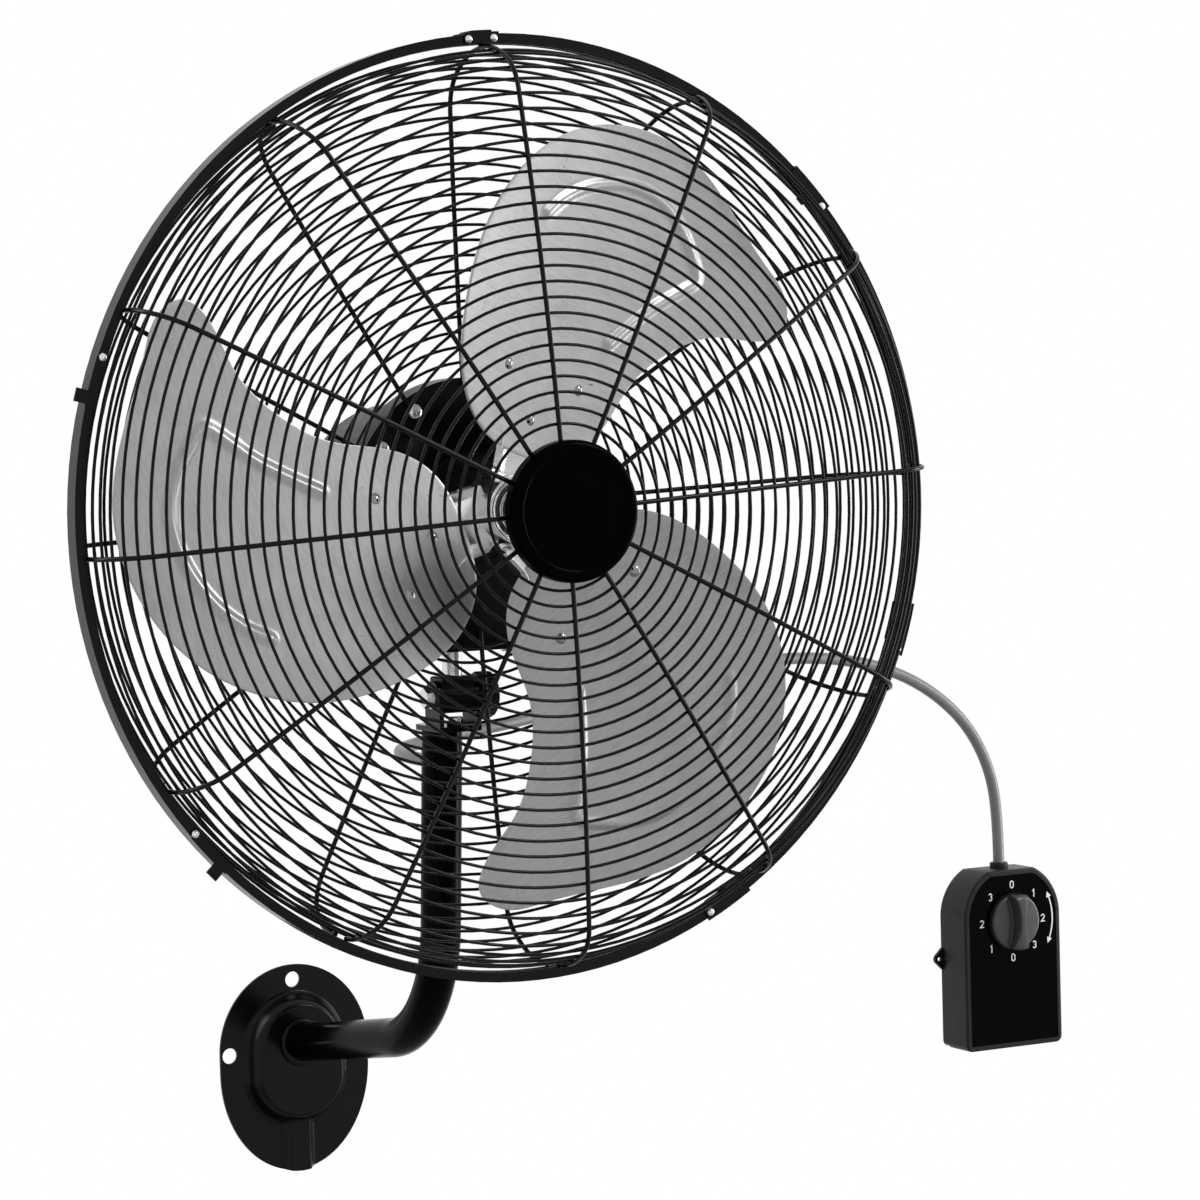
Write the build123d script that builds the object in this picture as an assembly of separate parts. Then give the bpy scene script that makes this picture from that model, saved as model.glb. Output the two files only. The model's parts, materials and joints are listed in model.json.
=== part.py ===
from build123d import *
import os
from math import asin, atan2, cos, degrees, pi, radians, sin, sqrt, tan

# Wall mounted oscillating fan with a separate control box. Millimetres, +Z up.
# The wall is the plane y = 0 and the room lies toward -Y. The origin is the middle of the
# wall plate's two side holes. Head pieces are drawn about the fan's own axis, which is the
# Y axis of their drawing, with the middle of the clamp band at y = 0 and the air leaving
# toward -Y, and they are then moved to their place in front of the wall.

# ---------------------------------------------------------------- driving sizes
reach = 421.0            # wall to the middle of the clamp band
head_height = 437.0      # plate holes to the fan axis

ring_r = 330.0           # outside of the clamp band
band_t = 1.2
band_lip = 6.6           # how far the band's lips reach inward
band_gap = 4.0           # split of the band under its joint
rim_wire_r = 3.0         # end ring of each guard, held in the band
rim_play = 0.1
weld = 0.3               # depth that welded wires share
over = 1.0               # how far a cutting shape runs past the faces that it opens
screw_play = 0.2         # radial play of a screw in its clearance hole
rib_r = 1.7
rib_count = 12
wire_r = 1.15
wire_sides = 10          # section of the spiral wires, which keeps their mesh light
wire_pitch = 10.8
front_rib_angle = 93.6   # first rib, from +X toward +Z
rear_rib_angle = 92.6
front_height = 73.6      # middle of the front guard's ribs, from the band's middle
front_dome = 24.5        # fall of the front guard's crown out to the ring radius
front_shoulder_r = 28.0
front_shoulder_turn = 52.0
front_rib_in = 24.0      # inner ends of the front ribs, under the cap
front_wire_in = 54.0     # first turn of the front spiral
front_wire_angle = -56.0
rear_height = 73.3
rear_dome = 15.7
rear_shoulder_r = 34.0
rear_shoulder_turn = 50.0
rear_wire_angle = 20.0
rib_straight = 3.0       # last, straight stretch of a rib beside its rim

joint_angle = 93.8
joint_w = 16.0
joint_rise = 2.4
joint_flange = 13.5
joint_rivet = 9.7
band_rivet_r = 2.8
band_rivet_h = 1.6
clip_t = 1.5
clip_w = 29.0
clip_tail = 25.0         # the clip's front strip runs on to its rivet
clip_rivet = 21.0
clip_tab_in = 9.0
clip_tab_span = (-9.0, -2.0)
clip_angles = (43.7, 343.2, 299.4)
latch_angles = (159.9, 219.3)
latch_arm = 35.0
latch_tab = 9.0
latch_tab_w = 9.0
latch_tab_end = 2.0      # the tab stops short of the strip's end
latch_half = 3.2
pivot_r = 1.5

cap_r = 48.8
cap_depth = 13.0
cap_edge_r = 4.5
cap_back_edge_r = 2.0
guard_disc_r = 46.0
guard_disc_t = 1.5
cap_screw_r = 2.5
cap_screw_depth = 7.5
cap_screw_head_r = 5.0
cap_screw_head_h = 3.0
drill_depth = 0.5        # blind holes run this much past their screws

plate_ring_r = 93.5      # rear guard's centre plate and the motor's front bell
plate_ring_in = 40.0
plate_ring_t = 2.0
rib_lap = 5.3            # rear rib welded onto its centre plate
mount_screw_circle = 82.0
guard_screw_angle = 31.0
motor_bolt_angle = 57.0
screw_r = 2.5
screw_head_r = 5.5
screw_head_h = 3.2
screw_head_edge_r = 1.5
screw_recess_r = 1.6
screw_recess_depth = 1.7
screw_end = 0.5          # the screws stop this far inside the rear bell's flange
screw_boss_r = 7.0

bell_wall = 3.5
bell_face = 5.0
bell_depth = 19.4
bell_flange_t = 3.5
bell_flange_in = 2.0     # the rear bell's flange is this much smaller than the front bell
bell_edge_r = 1.5
bell_boss = 6.0          # front bearing's boss, in front of the bell
bell_boss_r = 27.0
bell_boss_foot_r = 30.0
motor_r = 76.0
motor_wall = 4.0
motor_length = 108.0     # rear bell behind the flange
motor_edge_r = 3.5
bearing_r = 17.5
bearing_w = 11.0
bearing_lip = 3.0
bearing_seat_t = 5.0
shaft_r = 6.0
shaft_clear = 2.0        # between the shaft and the front bell
shaft_edge = 0.8
shaft_inset = 2.0        # shaft's front end inside the blade hub
shaft_end = 0.5          # and its rear end before the bell
run_fit = 0.04           # radial play of a running shaft
seat_fit = 0.02          # radial play of pieces that are pressed or clamped together
core_length = 38.0
air_gap = 0.5
stator_bore_r = 44.0
winding_gap = 6.0        # between the front windings and the flange
winding_in = 48.0
winding_out = 67.0
winding_front = 14.0
winding_rear = 14.0

blade_count = 3
blade_angle = 67.8       # direction of the first blade's middle, from +X toward +Z
blade_t = 1.6
blade_lift = 10.8        # the blade's face behind the band's middle, at radius blade_ref
blade_ref = 100.0
blade_pitch = 0.288      # rise per mm toward the leading edge
blade_camber = 0.00049
blade_cone = 0.0126
blade_twist = 0.00025
bead_w = 10.0
bead_h = 1.4
bead_corner_r = 9.0
sheet_u = (8.0, 310.0)   # stretch of the curved sheet that blades and arms are cut from
sheet_s = (-135, 30, 205)
sheet_deep = 130.0       # half depth of the cutting outlines
# A blade is drawn along +X: u is the distance from the fan axis and s runs toward the
# leading edge, which is -Z in the drawing.
blade_outline = [(38, -8), (42, -46), (67, -77), (117, -97), (172, -101), (217, -88.5), (260.5, -56),
                 (287, -4), (289, 49), (270, 98), (241, 151), (226, 174), (204, 180.5), (189.5, 162.5),
                 (178.5, 126), (156.5, 95), (120, 68.5), (74, 54), (50, 35)]
bead_start = (137, 37)
bead_corner = (211, 97)
bead_bow = [(226, 79), (249.8, 25), (218, -41)]
bead_end = (201, -52.4)
rivet_spots = [(92.8, -42.6), (64.0, -7.7), (98.5, 24.9)]
arm_outline = [(12, -21), (46, -27), (82, -57), (108, -50), (113, 28), (101, 38), (46, 17), (12, 21)]
arm_t = 4.0
arm_corner_r = 9.0
arm_round_u = 60.0       # the arm's corners beyond this radius are rounded
boss_r = 25.0
boss_edge_r = 2.0
boss_front = -8.0
boss_back = 40.0
hub_screw_r = 3.0
hub_screw_back = 8.0     # from the boss's rear face
hub_screw_top = 2.0      # screw head below the boss's surface
hub_socket_r = 1.5
hub_socket_depth = 3.0
rivet_r = 2.4
rivet_head_r = 4.1
rivet_head_h = 1.8

case_w = 96.0            # gear case under the motor
case_depth = 85.5
case_wall = 3.5
case_bottom = -104.0
case_edge_r = 6.0
case_overlap = 1.0       # the case's top reaches this far into the motor's outline
cover_t = 3.0
cover_post_r = 4.5
cover_post_h = 14.0
cover_post_in = 4.0      # post middle inside the case's wall
cover_screw_r = 1.6
cover_screw_head_r = 3.2
cover_screw_head_h = 2.0
cover_screw_depth = 9.0
swing_y = 112.0          # upright axis that the head swings on, behind the band's middle
tilt_z = -137.0          # cross bolt that the head tilts on, below the fan axis
stem_r = 7.2
journal_r = 6.0
bush_r = 8.0
bush_length = 13.0
bush_boss_t = 4.0
lug_seat_r = 3.5
lug_hub_r = 6.0
clip_rim = 1.2           # lug's retaining ring
lug_clip_t = 1.0
clip_mouth = 2.5
stem_over_clip = 0.2
link_arm = 8.0           # lug and crank throw, alike so that they stay parallel
link_t = 3.0
link_pin_r = 2.0
link_eye_r = 4.0         # also the tip of the lug and of the crank
link_rest_r = 3.0        # shoulders under the link
crank_hub_r = 5.5
link_play = 0.3
crank_clear = 2.0        # crank above the stem's bush
pin_over = 0.8
swing_motor_r = 24.0
swing_motor_h = 11.0
swing_motor_gap = 42.0   # crank axis behind the stem
swing_motor_edge_r = 2.0
spindle_end = 0.5        # swing motor's spindle below the crank's top
capacitor = (17.0, 46.0, 24.0)
capacitor_gap = (1.0, 10.0)     # from the case's side and front walls
capacitor_edge_r = 1.5

block_w = 26.0
block_r = 12.0
block_top = 15.0         # above the cross bolt
block_flat = 10.0        # half depth of the block's upper part
block_edge_r = 2.0
stem_floor = 2.0         # metal between the stem and the cross bolt
fork_play = 0.3
fork_t = 3.5
fork_depth = 24.0
fork_floor = 21.0        # below the cross bolt
fork_floor_t = 4.0
fork_corner_r = 9.0
fork_plug = 12.0         # plug's length in the tube
fork_boss_r = 6.5
fork_boss_h = 2.5
fork_screw_r = 2.5
fork_screw_ahead = 3.0   # in front of the cross bolt
fork_screw_short = 1.0
fork_screw_head_r = 5.4
fork_screw_head_h = 4.3
fork_screw_edge_r = 1.6
tilt_bolt_r = 4.0
bolt_head_af = 13.0
bolt_head_h = 5.3
washer_r = 8.0
washer_t = 1.6
knob_r = 17.0
knob_t = 12.0
knob_skin = 1.5          # knob's outer face over the bolt's end
knob_bolt_in = 10.0
knob_lobes = 18
knob_flute_r = 2.2
knob_flute_out = 1.4     # flute's middle outside the knob
knob_edge = 1.2

plate_half = 64.0        # wall plate outline: half an ellipse above, half of one below
plate_rise = 68.0        # its top above the side holes
plate_waist = 15.0       # straight sides between the two halves
plate_drop = 82.0
plate_t = 2.5
plate_hole_r = 6.25
plate_hole_x = 56.0
plate_hole_z = 56.0
crown_half = 41.0        # raised middle of the wall plate, outlined alike
crown_rise = 46.0
crown_drop = 52.0
crown_h = 17.0
crown_taper = 20.0
crown_edge_r = 5.0
channel_edge_r = 2.0
channel_w = 26.0
channel_h = 11.0

tube_r = 15.0
tube_wall = 2.5
tube_root_z = 4.6        # tube axis where it meets the wall plane
tube_bend_r = 105.0
tube_rise = 42.6         # from there to where the arm's and the pole's lines would meet
pole_lean = 18.5         # the pole's top stands this much further from the wall than its foot
collar_r = 19.0
collar_t = 5.0
collar_edge_r = 2.5
fork_shift = 19.5        # cross bolt in front of the tube's top
fork_back = 1.0          # the fork's floor covers the tube's end and this much more

box_x = 668.0            # control box on the same wall
box_z = 14.0
box_w = 100.0
box_h = 156.0
box_top_w = 48.0
box_arch_drop = 44.0
box_corner_r = 6.0
box_edge_r = 2.0
box_depth = 40.0
box_base_t = 12.0
box_base_in = 1.0        # the base is this much smaller than the cover
box_lap = 3.0            # the cover's edge laps over the base
box_wall = 2.5
box_arch_bulge = (0.72, 0.62)   # where the arch's shoulder passes, as shares of its width and drop
box_least_r = 1.0
panel_inset = 4.5
panel_t = 1.6
panel_sink = 0.6
ear_reach = 7.5
ear_h = 30.0
ear_root = 10.0          # the ears start this far inside the box's side
ear_root_w = 4.0
ear_t = 3.0
ear_hole_x = 52.8
ear_hole_r = 1.9
dial_drop = 45.0         # dial centre below the box's top
dial_r = 24.5
dial_text_r = 32.0
dial_text = 6.8          # height of the numbers
dial_stroke = 1.0
dial_slim = 0.62         # width of a number as a share of its height
mark_h = 0.15
arrow_r = 48.0           # two-headed arc beside the numbers
arrow_x = -6.0
arrow_half = 28.0
arrow_w = 1.3
arrow_head_w = 5.2
arrow_head_l = 5.2
arrow_head_turn = 6.0    # the arc stops this many degrees before its ends
knob_gap = 0.6
knob_disc_h = 7.0
knob_grip_h = 11.0
knob_grip_w = 15.0
knob_grip_inset = 0.3
knob_grip_edge_r = 1.2
knob_disc_edge_r = 1.5
spindle_r = 3.0
spindle_in = 5.0         # length of the spindle in the knob
spindle_hole = 4.0       # play of the spindle in the cover
panel_hole = 1.0         # and in the panel
switch_r = 19.0
switch_h = 16.0
box_screw_r = 1.6
box_screw_head = 1.4     # head's rim round the shank
box_screw_head_t = 1.7
box_screw_sink = 0.3     # heads below the base's back
box_screw_in = 10.0      # thread in the cover
box_screw_drill = 2.0
post_r = 4.5
post_x = 34.0
post_foot = 16.0         # above the box's lower edge
post_drop = 70.0         # below its top
post_overlap = 0.5

cable_r = 5.0
gland_r = 8.0
gland_h = 5.0
gland_neck = 2.0         # the part inside the wall is this much smaller in radius
gland_in = 5.0
gland_edge_r = 1.5
grommet_r = 8.5
grommet_t = 3.0
grommet_neck = 2.0
grommet_in = 2.0
cable_exit_drop = 25.0   # where the cable enters the pole's back, below the fork
cable_end_run = 39.5

# ---------------------------------------------------------------- shared places
rim_r = ring_r - band_t - rim_wire_r - rim_play
rim_h = rim_wire_r + rim_play / 2
rib_end_r = rim_r - rim_wire_r - rib_r + weld
lip_r = ring_r - band_lip
band_half = 2 * rim_wire_r + rim_play + band_t
plate_ring_y = rear_height + rib_r - weld / 2 - rear_dome * (plate_ring_r / ring_r) ** 2
bell_y = plate_ring_y + plate_ring_t
flange_y = bell_y + bell_depth
shell_y = flange_y + bell_flange_t
motor_end_y = flange_y + motor_length
stator_r = motor_r - motor_wall - seat_fit
winding_y = flange_y + winding_gap
core_y = winding_y + winding_front
case_y = shell_y
cover_z = case_bottom + cover_t
fork_z = tilt_z - fork_floor
fork_w = block_w / 2 + fork_play
plate_low = -plate_waist - plate_drop
crown_face = -crown_h
lip_mid = ring_r - band_lip / 2
crank_z = case_bottom + bush_length + crank_clear
rest_top = crank_z + link_t + lug_clip_t + stem_over_clip
link_low = rest_top + link_play
pin_top = link_low + link_t + pin_over
fork_base_z = head_height + fork_z - fork_floor_t
tube_top_y = swing_y + fork_shift - reach
tube_corner_y = tube_top_y + pole_lean
tube_corner_z = tube_root_z + tube_rise
top_lean = -pole_lean / (fork_base_z - tube_corner_z)
dial_z = box_h / 2 - dial_drop
post_low = post_foot - box_h / 2
post_high = box_h / 2 - post_drop

nodes = {}


def keep(name, shape):
    nodes[name] = shape


def head(shape):
    # from the fan axis drawing to the place in front of the wall
    return Pos(0, -reach, head_height) * shape


def turned(points):
    # solid of revolution about the Y axis from (radius, y) corners
    return revolve(make_face(Polyline(*points, close=True)), axis=Axis.Y)


def ring(outer, inner, y0, y1):
    return turned([(inner, y0), (outer, y0), (outer, y1), (inner, y1)])


def drum(radius, y0, y1):
    # cylinder along Y
    return Pos(0, (y0 + y1) / 2, 0) * Rot(90, 0, 0) * Cylinder(radius, y1 - y0)


def pin_x(radius, x0, x1, y, z):
    return Pos((x0 + x1) / 2, y, z) * Rot(0, 90, 0) * Cylinder(radius, x1 - x0)


def pin_z(radius, z0, z1, x, y):
    return Pos(x, y, (z0 + z1) / 2) * Cylinder(radius, z1 - z0)


def block(x0, x1, y0, y1, z0, z1):
    return Pos((x0 + x1) / 2, (y0 + y1) / 2, (z0 + z1) / 2) * Box(x1 - x0, y1 - y0, z1 - z0)


def around(shape, angle):
    # turn about the fan axis, from +X toward +Z
    return Rot(0, -angle, 0) * shape


def at_polar(shape, radius, angle):
    return Pos(radius * cos(radians(angle)), 0, radius * sin(radians(angle))) * shape


def tube_along(path, radius):
    return sweep(Plane(origin=path @ 0, z_dir=path % 0) * Circle(radius), path=path)


# ---------------------------------------------------------------- guard lines
def guard_line(height, dome, shoulder_r, shoulder_turn):
    # Three arcs that touch: the crown, the shoulder and the skirt. Each arc is
    # (start radius, start height, start slope, end slope, arc radius), slopes in radians.
    dome_r = ring_r ** 2 / (2 * dome)
    turn = radians(shoulder_turn)
    shoulder_at = rib_end_r - 2 * shoulder_r
    for _ in range(12):     # settles within a hundredth of a millimetre
        lean = asin(shoulder_at / dome_r)
        shoulder_h = height - dome_r * (1 - cos(lean))
        skirt_h = shoulder_h - shoulder_r * (cos(lean) - cos(turn))
        skirt_r = (skirt_h - rim_h - rib_straight) / cos(turn)
        shoulder_at = rib_end_r - shoulder_r * (sin(turn) - sin(lean)) - skirt_r * (1 - sin(turn))
    skirt_at = shoulder_at + shoulder_r * (sin(turn) - sin(lean))
    return [(0.0, height, 0.0, lean, dome_r),
            (shoulder_at, shoulder_h, lean, turn, shoulder_r),
            (skirt_at, skirt_h, turn, pi / 2, skirt_r)]


def on_arc(arc, slope, inset=0.0):
    # point of an arc where it has this slope, moved inward by inset
    r0, h0, slope0, _, radius = arc
    r = r0 + radius * (sin(slope) - sin(slope0)) - inset * sin(slope)
    h = h0 - radius * (cos(slope0) - cos(slope)) - inset * cos(slope)
    return r, h


def slope_at_radius(line, r):
    r0, _, slope0, _, radius = line[0]
    return asin((r - r0) / radius + sin(slope0))


def along(line, distance, inset):
    # point at a distance along the arcs, measured from the guard's middle
    left = distance
    for arc in line:
        length = arc[4] * (arc[3] - arc[2])
        if left <= length:
            return on_arc(arc, arc[2] + left / arc[4], inset)
        left -= length
    return on_arc(line[-1], line[-1][3], inset)


def guard_rib(line, side, start_r):
    # one rib in the plane z = 0, on the +X side; side is -1 at the front and 1 at the rear
    path = []
    first = slope_at_radius(line, start_r)
    for arc in line:
        begin = max(arc[2], first)
        spots = [on_arc(arc, begin + (arc[3] - begin) * share) for share in (0, 0.5, 1)]
        path.append(ThreePointArc(*[(r, side * h, 0) for r, h in spots]))
    end_r, end_h = on_arc(line[-1], pi / 2)
    path.append(Line((end_r, side * end_h, 0), (end_r, side * rim_h, 0)))
    return tube_along(Wire(path), rib_r)


def rim_spot(side, angle):
    return rim_r * cos(radians(angle)), side * rim_h, rim_r * sin(radians(angle))


def guard_rim(side, first_angle):
    # end ring, made of arcs that meet midway between the ribs
    step = 360 / rib_count
    starts = [first_angle + step * (0.5 - i) for i in range(rib_count)]
    arcs = [ThreePointArc(*[rim_spot(side, start - turn) for turn in (0, step / 2, step)])
            for start in starts]
    return tube_along(Wire(arcs), rim_wire_r)


def guard_ribs(line, side, start_r, first_angle):
    rib = guard_rib(line, side, start_r)
    step = 360 / rib_count
    ribs = [around(rib, first_angle - step * i) for i in range(rib_count)]
    return guard_rim(side, first_angle).fuse(*ribs)


def guard_spiral(line, side, start_r, start_angle):
    # Half turns, each a half circle in its own slightly tilted plane, so that they
    # touch end to end; the wire lies inside the ribs and runs clockwise outward.
    inset = rib_r + wire_r - weld
    distance = line[0][4] * slope_at_radius(line, start_r)
    length = sum(arc[4] * (arc[3] - arc[2]) for arc in line) - 2 * wire_r
    turns = []
    sign = 1
    while distance + wire_pitch / 2 <= length:
        r0, h0 = along(line, distance, inset)
        r1, h1 = along(line, distance + wire_pitch / 2, inset)
        a = Vector(sign * r0, side * h0, 0)
        b = Vector(-sign * r1, side * h1, 0)
        middle = (a + b) * 0.5 - Vector(0, 0, sign * (b - a).length / 2)
        turns.append(ThreePointArc(a, middle, b))
        distance += wire_pitch / 2
        sign = -sign
    path = Wire(turns)
    section = Plane(origin=path @ 0, z_dir=path % 0) * RegularPolygon(wire_r, wire_sides)
    return around(sweep(section, path=path), start_angle)


front_line = guard_line(front_height, front_dome, front_shoulder_r, front_shoulder_turn)
rear_line = guard_line(rear_height, rear_dome, rear_shoulder_r, rear_shoulder_turn)


def make_guards():
    keep("front_guard_ribs", head(guard_ribs(front_line, -1, front_rib_in, front_rib_angle)))
    keep("front_guard_spiral", head(guard_spiral(front_line, -1, front_wire_in, front_wire_angle)))
    rear_rib_in = plate_ring_r - rib_lap
    keep("rear_guard_ribs", head(guard_ribs(rear_line, 1, rear_rib_in, rear_rib_angle)))
    rear_wire_in = plate_ring_r + 2 * wire_r
    keep("rear_guard_spiral", head(guard_spiral(rear_line, 1, rear_wire_in, rear_wire_angle)))

    plate = ring(plate_ring_r, plate_ring_in, plate_ring_y, bell_y)
    for i in range(4):
        for angle in (guard_screw_angle, motor_bolt_angle):
            hole = drum(screw_r + screw_play, plate_ring_y - over, bell_y + over)
            plate -= at_polar(hole, mount_screw_circle, angle + 90 * i)
    keep("rear_guard_plate", head(plate))


# ---------------------------------------------------------------- clamp band and clips
def sector(shape, low, high):
    # keeps the stretch of a ring between two distances along it, either side of +X
    reach_r = 2 * ring_r
    spots = [(0, 0)] + [(reach_r * cos(d / ring_r), reach_r * sin(d / ring_r)) for d in (low, high)]
    wedge = Plane.XZ * make_face(Polyline(*spots, close=True))
    return shape & extrude(wedge, amount=4 * band_half, both=True)


def channel_ring(outer, thickness, half_width, lip):
    return turned([(outer - lip, -half_width), (outer, -half_width), (outer, half_width),
                   (outer - lip, half_width), (outer - lip, half_width - thickness),
                   (outer - thickness, half_width - thickness),
                   (outer - thickness, -half_width + thickness), (outer - lip, -half_width + thickness)])


def dome_head(radius, height, y):
    # round rivet head standing toward -Y from the plane y
    ball_r = (radius ** 2 + height ** 2) / (2 * height)
    ball = Pos(0, y - height + ball_r, 0) * Sphere(ball_r)
    return ball & drum(radius + over, y - height - over, y)


def make_band():
    band = channel_ring(ring_r, band_t, band_half, band_lip)
    for angle in latch_angles:
        band -= around(Pos(lip_mid, 0, 0) * drum(pivot_r + seat_fit, -2 * band_half, 0), angle)
    split = block(lip_r - over, ring_r + over, -2 * band_half, 2 * band_half, -band_gap / 2, band_gap / 2)
    keep("clamp_band", head(band - around(split, joint_angle)))

    # the joint: a saddle over the split, with a raised middle
    cover_half = band_half + band_t
    saddle = channel_ring(ring_r + band_t, band_t, cover_half, band_lip + band_t)
    flange = sector(saddle, -joint_flange, joint_flange)
    raised = ring(ring_r + joint_rise, ring_r + band_t / 2, -cover_half, cover_half)
    keep("band_joint", head(around(flange + sector(raised, -joint_w / 2, joint_w / 2), joint_angle)))
    step = degrees(joint_rivet / lip_mid)
    joint_head = dome_head(band_rivet_r, band_rivet_h, -cover_half)
    rivets = [at_polar(joint_head, lip_mid, joint_angle + turn) for turn in (-step, step)]

    clip_half = band_half + clip_t
    front_strip = ring(ring_r + clip_t, lip_r, -clip_half, -band_half)
    saddle = channel_ring(ring_r + clip_t, clip_t, clip_half, band_lip + clip_t)
    tab = ring(lip_r + over, lip_r - clip_tab_in, -clip_half, -band_half)
    clip = sector(saddle, -clip_w / 2, clip_w / 2) + sector(front_strip, -clip_tail, 0)
    clip += sector(tab, *clip_tab_span)
    keep("guard_clips", head(Compound(children=[around(clip, angle) for angle in clip_angles])))
    clip_head = dome_head(band_rivet_r, band_rivet_h, -clip_half)
    rivets += [at_polar(clip_head, lip_mid, angle - degrees(clip_rivet / ring_r)) for angle in clip_angles]

    latch = make_latch()
    front = -band_half - clip_t - 2 * run_fit
    pivot = dome_head(band_rivet_r, band_rivet_h, front) + drum(pivot_r, front, -band_half + band_t)
    for i, angle in enumerate(latch_angles):
        keep(f"guard_latch_{i + 1}", head(around(latch, angle)))
        rivets.append(at_polar(pivot, lip_mid, angle))
    keep("band_rivets", head(Compound(children=rivets)))


def make_latch():
    # a strip on the band's front lip, running from its pivot at z = 0 toward +Z, with a
    # finger tab at its far end; it swings outward about the pivot
    back = -band_half - run_fit
    front = back - clip_t
    strip = sector(ring(ring_r + over, lip_mid - latch_half, front, back), 0, latch_arm)
    tab = ring(ring_r + latch_tab, ring_r, front, back)
    eye = Pos(lip_mid, 0, 0) * drum(latch_half, front, back)
    hole = Pos(lip_mid, 0, 0) * drum(pivot_r + run_fit, front - over, back + over)
    tab_end = latch_arm - latch_tab_end
    return strip + eye + sector(tab, tab_end - latch_tab_w, tab_end) - hole


# ---------------------------------------------------------------- front cap
def make_cap():
    back = -front_height - rib_r
    front = back - cap_depth
    cap = drum(cap_r, front, back)
    cap = fillet(cap.edges().group_by(Axis.Y)[0], cap_edge_r)
    cap = fillet(cap.edges().group_by(Axis.Y)[-1], cap_back_edge_r)
    screw_front = back - cap_screw_depth
    cap -= drum(cap_screw_r, screw_front - drill_depth, back + over)
    keep("hub_cap", head(cap))
    disc_y = -front_height + rib_r + front_dome * (front_rib_in / ring_r) ** 2
    disc_back = disc_y + guard_disc_t
    disc = drum(guard_disc_r, disc_y, disc_back)
    disc -= drum(cap_screw_r + screw_play, disc_y - over, disc_back + over)
    keep("front_guard_plate", head(disc))
    shank = drum(cap_screw_r, screw_front, disc_back)
    keep("cap_screw", head(shank + drum(cap_screw_head_r, disc_back, disc_back + cap_screw_head_h)))


# ---------------------------------------------------------------- motor
def make_motor():
    boss_y = bell_y - bell_boss
    seat_y = boss_y + bearing_lip
    seat_r = bearing_r + seat_fit
    seat_out = bearing_r + bearing_seat_t
    bell = turned([
        (shaft_r + shaft_clear, boss_y), (bell_boss_r, boss_y), (bell_boss_foot_r, bell_y),
        (plate_ring_r, bell_y),
        (plate_ring_r, flange_y), (plate_ring_r - bell_wall, flange_y),
        (plate_ring_r - bell_wall, bell_y + bell_face), (motor_r, bell_y + bell_face),
        (motor_r, flange_y), (motor_r - motor_wall, flange_y), (motor_r - motor_wall, bell_y + bell_face),
        (seat_out, bell_y + bell_face), (seat_out, seat_y + bearing_w),
        (seat_r, seat_y + bearing_w), (seat_r, seat_y), (shaft_r + shaft_clear, seat_y)])
    face_edges = bell.edges().filter_by(lambda e: abs(e.center().Y - bell_y) < 0.01)
    bell = fillet(face_edges.sort_by(lambda e: e.length)[-1:], bell_edge_r)
    for i in range(4):
        for angle in (guard_screw_angle, motor_bolt_angle):
            boss = drum(screw_boss_r, bell_y + over, flange_y)
            boss = at_polar(boss, mount_screw_circle, angle + 90 * i)
            bell += boss & ring(plate_ring_r - over, motor_r - over, bell_y, flange_y)
            hole = drum(screw_r + seat_fit, bell_y - over, flange_y + over)
            bell -= at_polar(hole, mount_screw_circle, angle + 90 * i)
    keep("motor_front_bell", head(bell))

    inner = motor_r - motor_wall
    end_in = motor_end_y - motor_wall
    pocket = end_in - bearing_w
    flange_r = plate_ring_r - bell_flange_in
    shell = turned([
        (inner, flange_y), (flange_r, flange_y), (flange_r, shell_y), (motor_r, shell_y),
        (motor_r, motor_end_y), (0, motor_end_y), (0, end_in), (seat_r, end_in),
        (seat_r, pocket), (seat_out, pocket), (seat_out, end_in), (inner, end_in)])
    rim = shell.edges().filter_by(lambda e: abs(e.center().Y - motor_end_y) < 0.01)
    shell = fillet(rim, motor_edge_r)
    for i in range(4):
        for angle in (guard_screw_angle, motor_bolt_angle):
            hole = drum(screw_r + seat_fit, flange_y - over, shell_y + over)
            shell -= at_polar(hole, mount_screw_circle, angle + 90 * i)
    keep("motor_rear_bell", head(shell))

    stack = ring(stator_r, stator_bore_r, core_y, core_y + core_length)
    keep("motor_stator", head(stack))
    front_turns = ring(winding_out, winding_in, winding_y, core_y)
    rear_turns = ring(winding_out, winding_in, core_y + core_length, core_y + core_length + winding_rear)
    keep("motor_windings", head(Compound(children=[front_turns, rear_turns])))
    core = ring(stator_bore_r - air_gap, shaft_r + seat_fit, core_y, core_y + core_length)
    keep("rotor_core", head(core))
    shaft = drum(shaft_r, boss_front + shaft_inset, end_in - shaft_end)
    keep("motor_shaft", head(chamfer(shaft.edges(), shaft_edge)))
    front_race = ring(bearing_r, shaft_r + run_fit, seat_y, seat_y + bearing_w)
    rear_race = ring(bearing_r, shaft_r + run_fit, pocket, end_in)
    keep("motor_bearings", head(Compound(children=[front_race, rear_race])))

    for name, angle in (("rear_guard_screws", guard_screw_angle), ("motor_bolts", motor_bolt_angle)):
        top_y = plate_ring_y - screw_head_h
        top = drum(screw_head_r, top_y, plate_ring_y)
        top = fillet(top.edges().group_by(Axis.Y)[0], screw_head_edge_r)
        recess = drum(screw_recess_r, top_y - over, top_y + screw_recess_depth)
        screw = drum(screw_r, plate_ring_y, shell_y - screw_end) + top - recess
        keep(name, head(Compound(children=[
            at_polar(screw, mount_screw_circle, angle + 90 * i) for i in range(4)])))


# ---------------------------------------------------------------- blades and hub
def blade_y(u, s):
    return (blade_lift + blade_pitch * s - blade_camber * s ** 2
            - (blade_cone + blade_twist * s) * (u - blade_ref))


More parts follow.
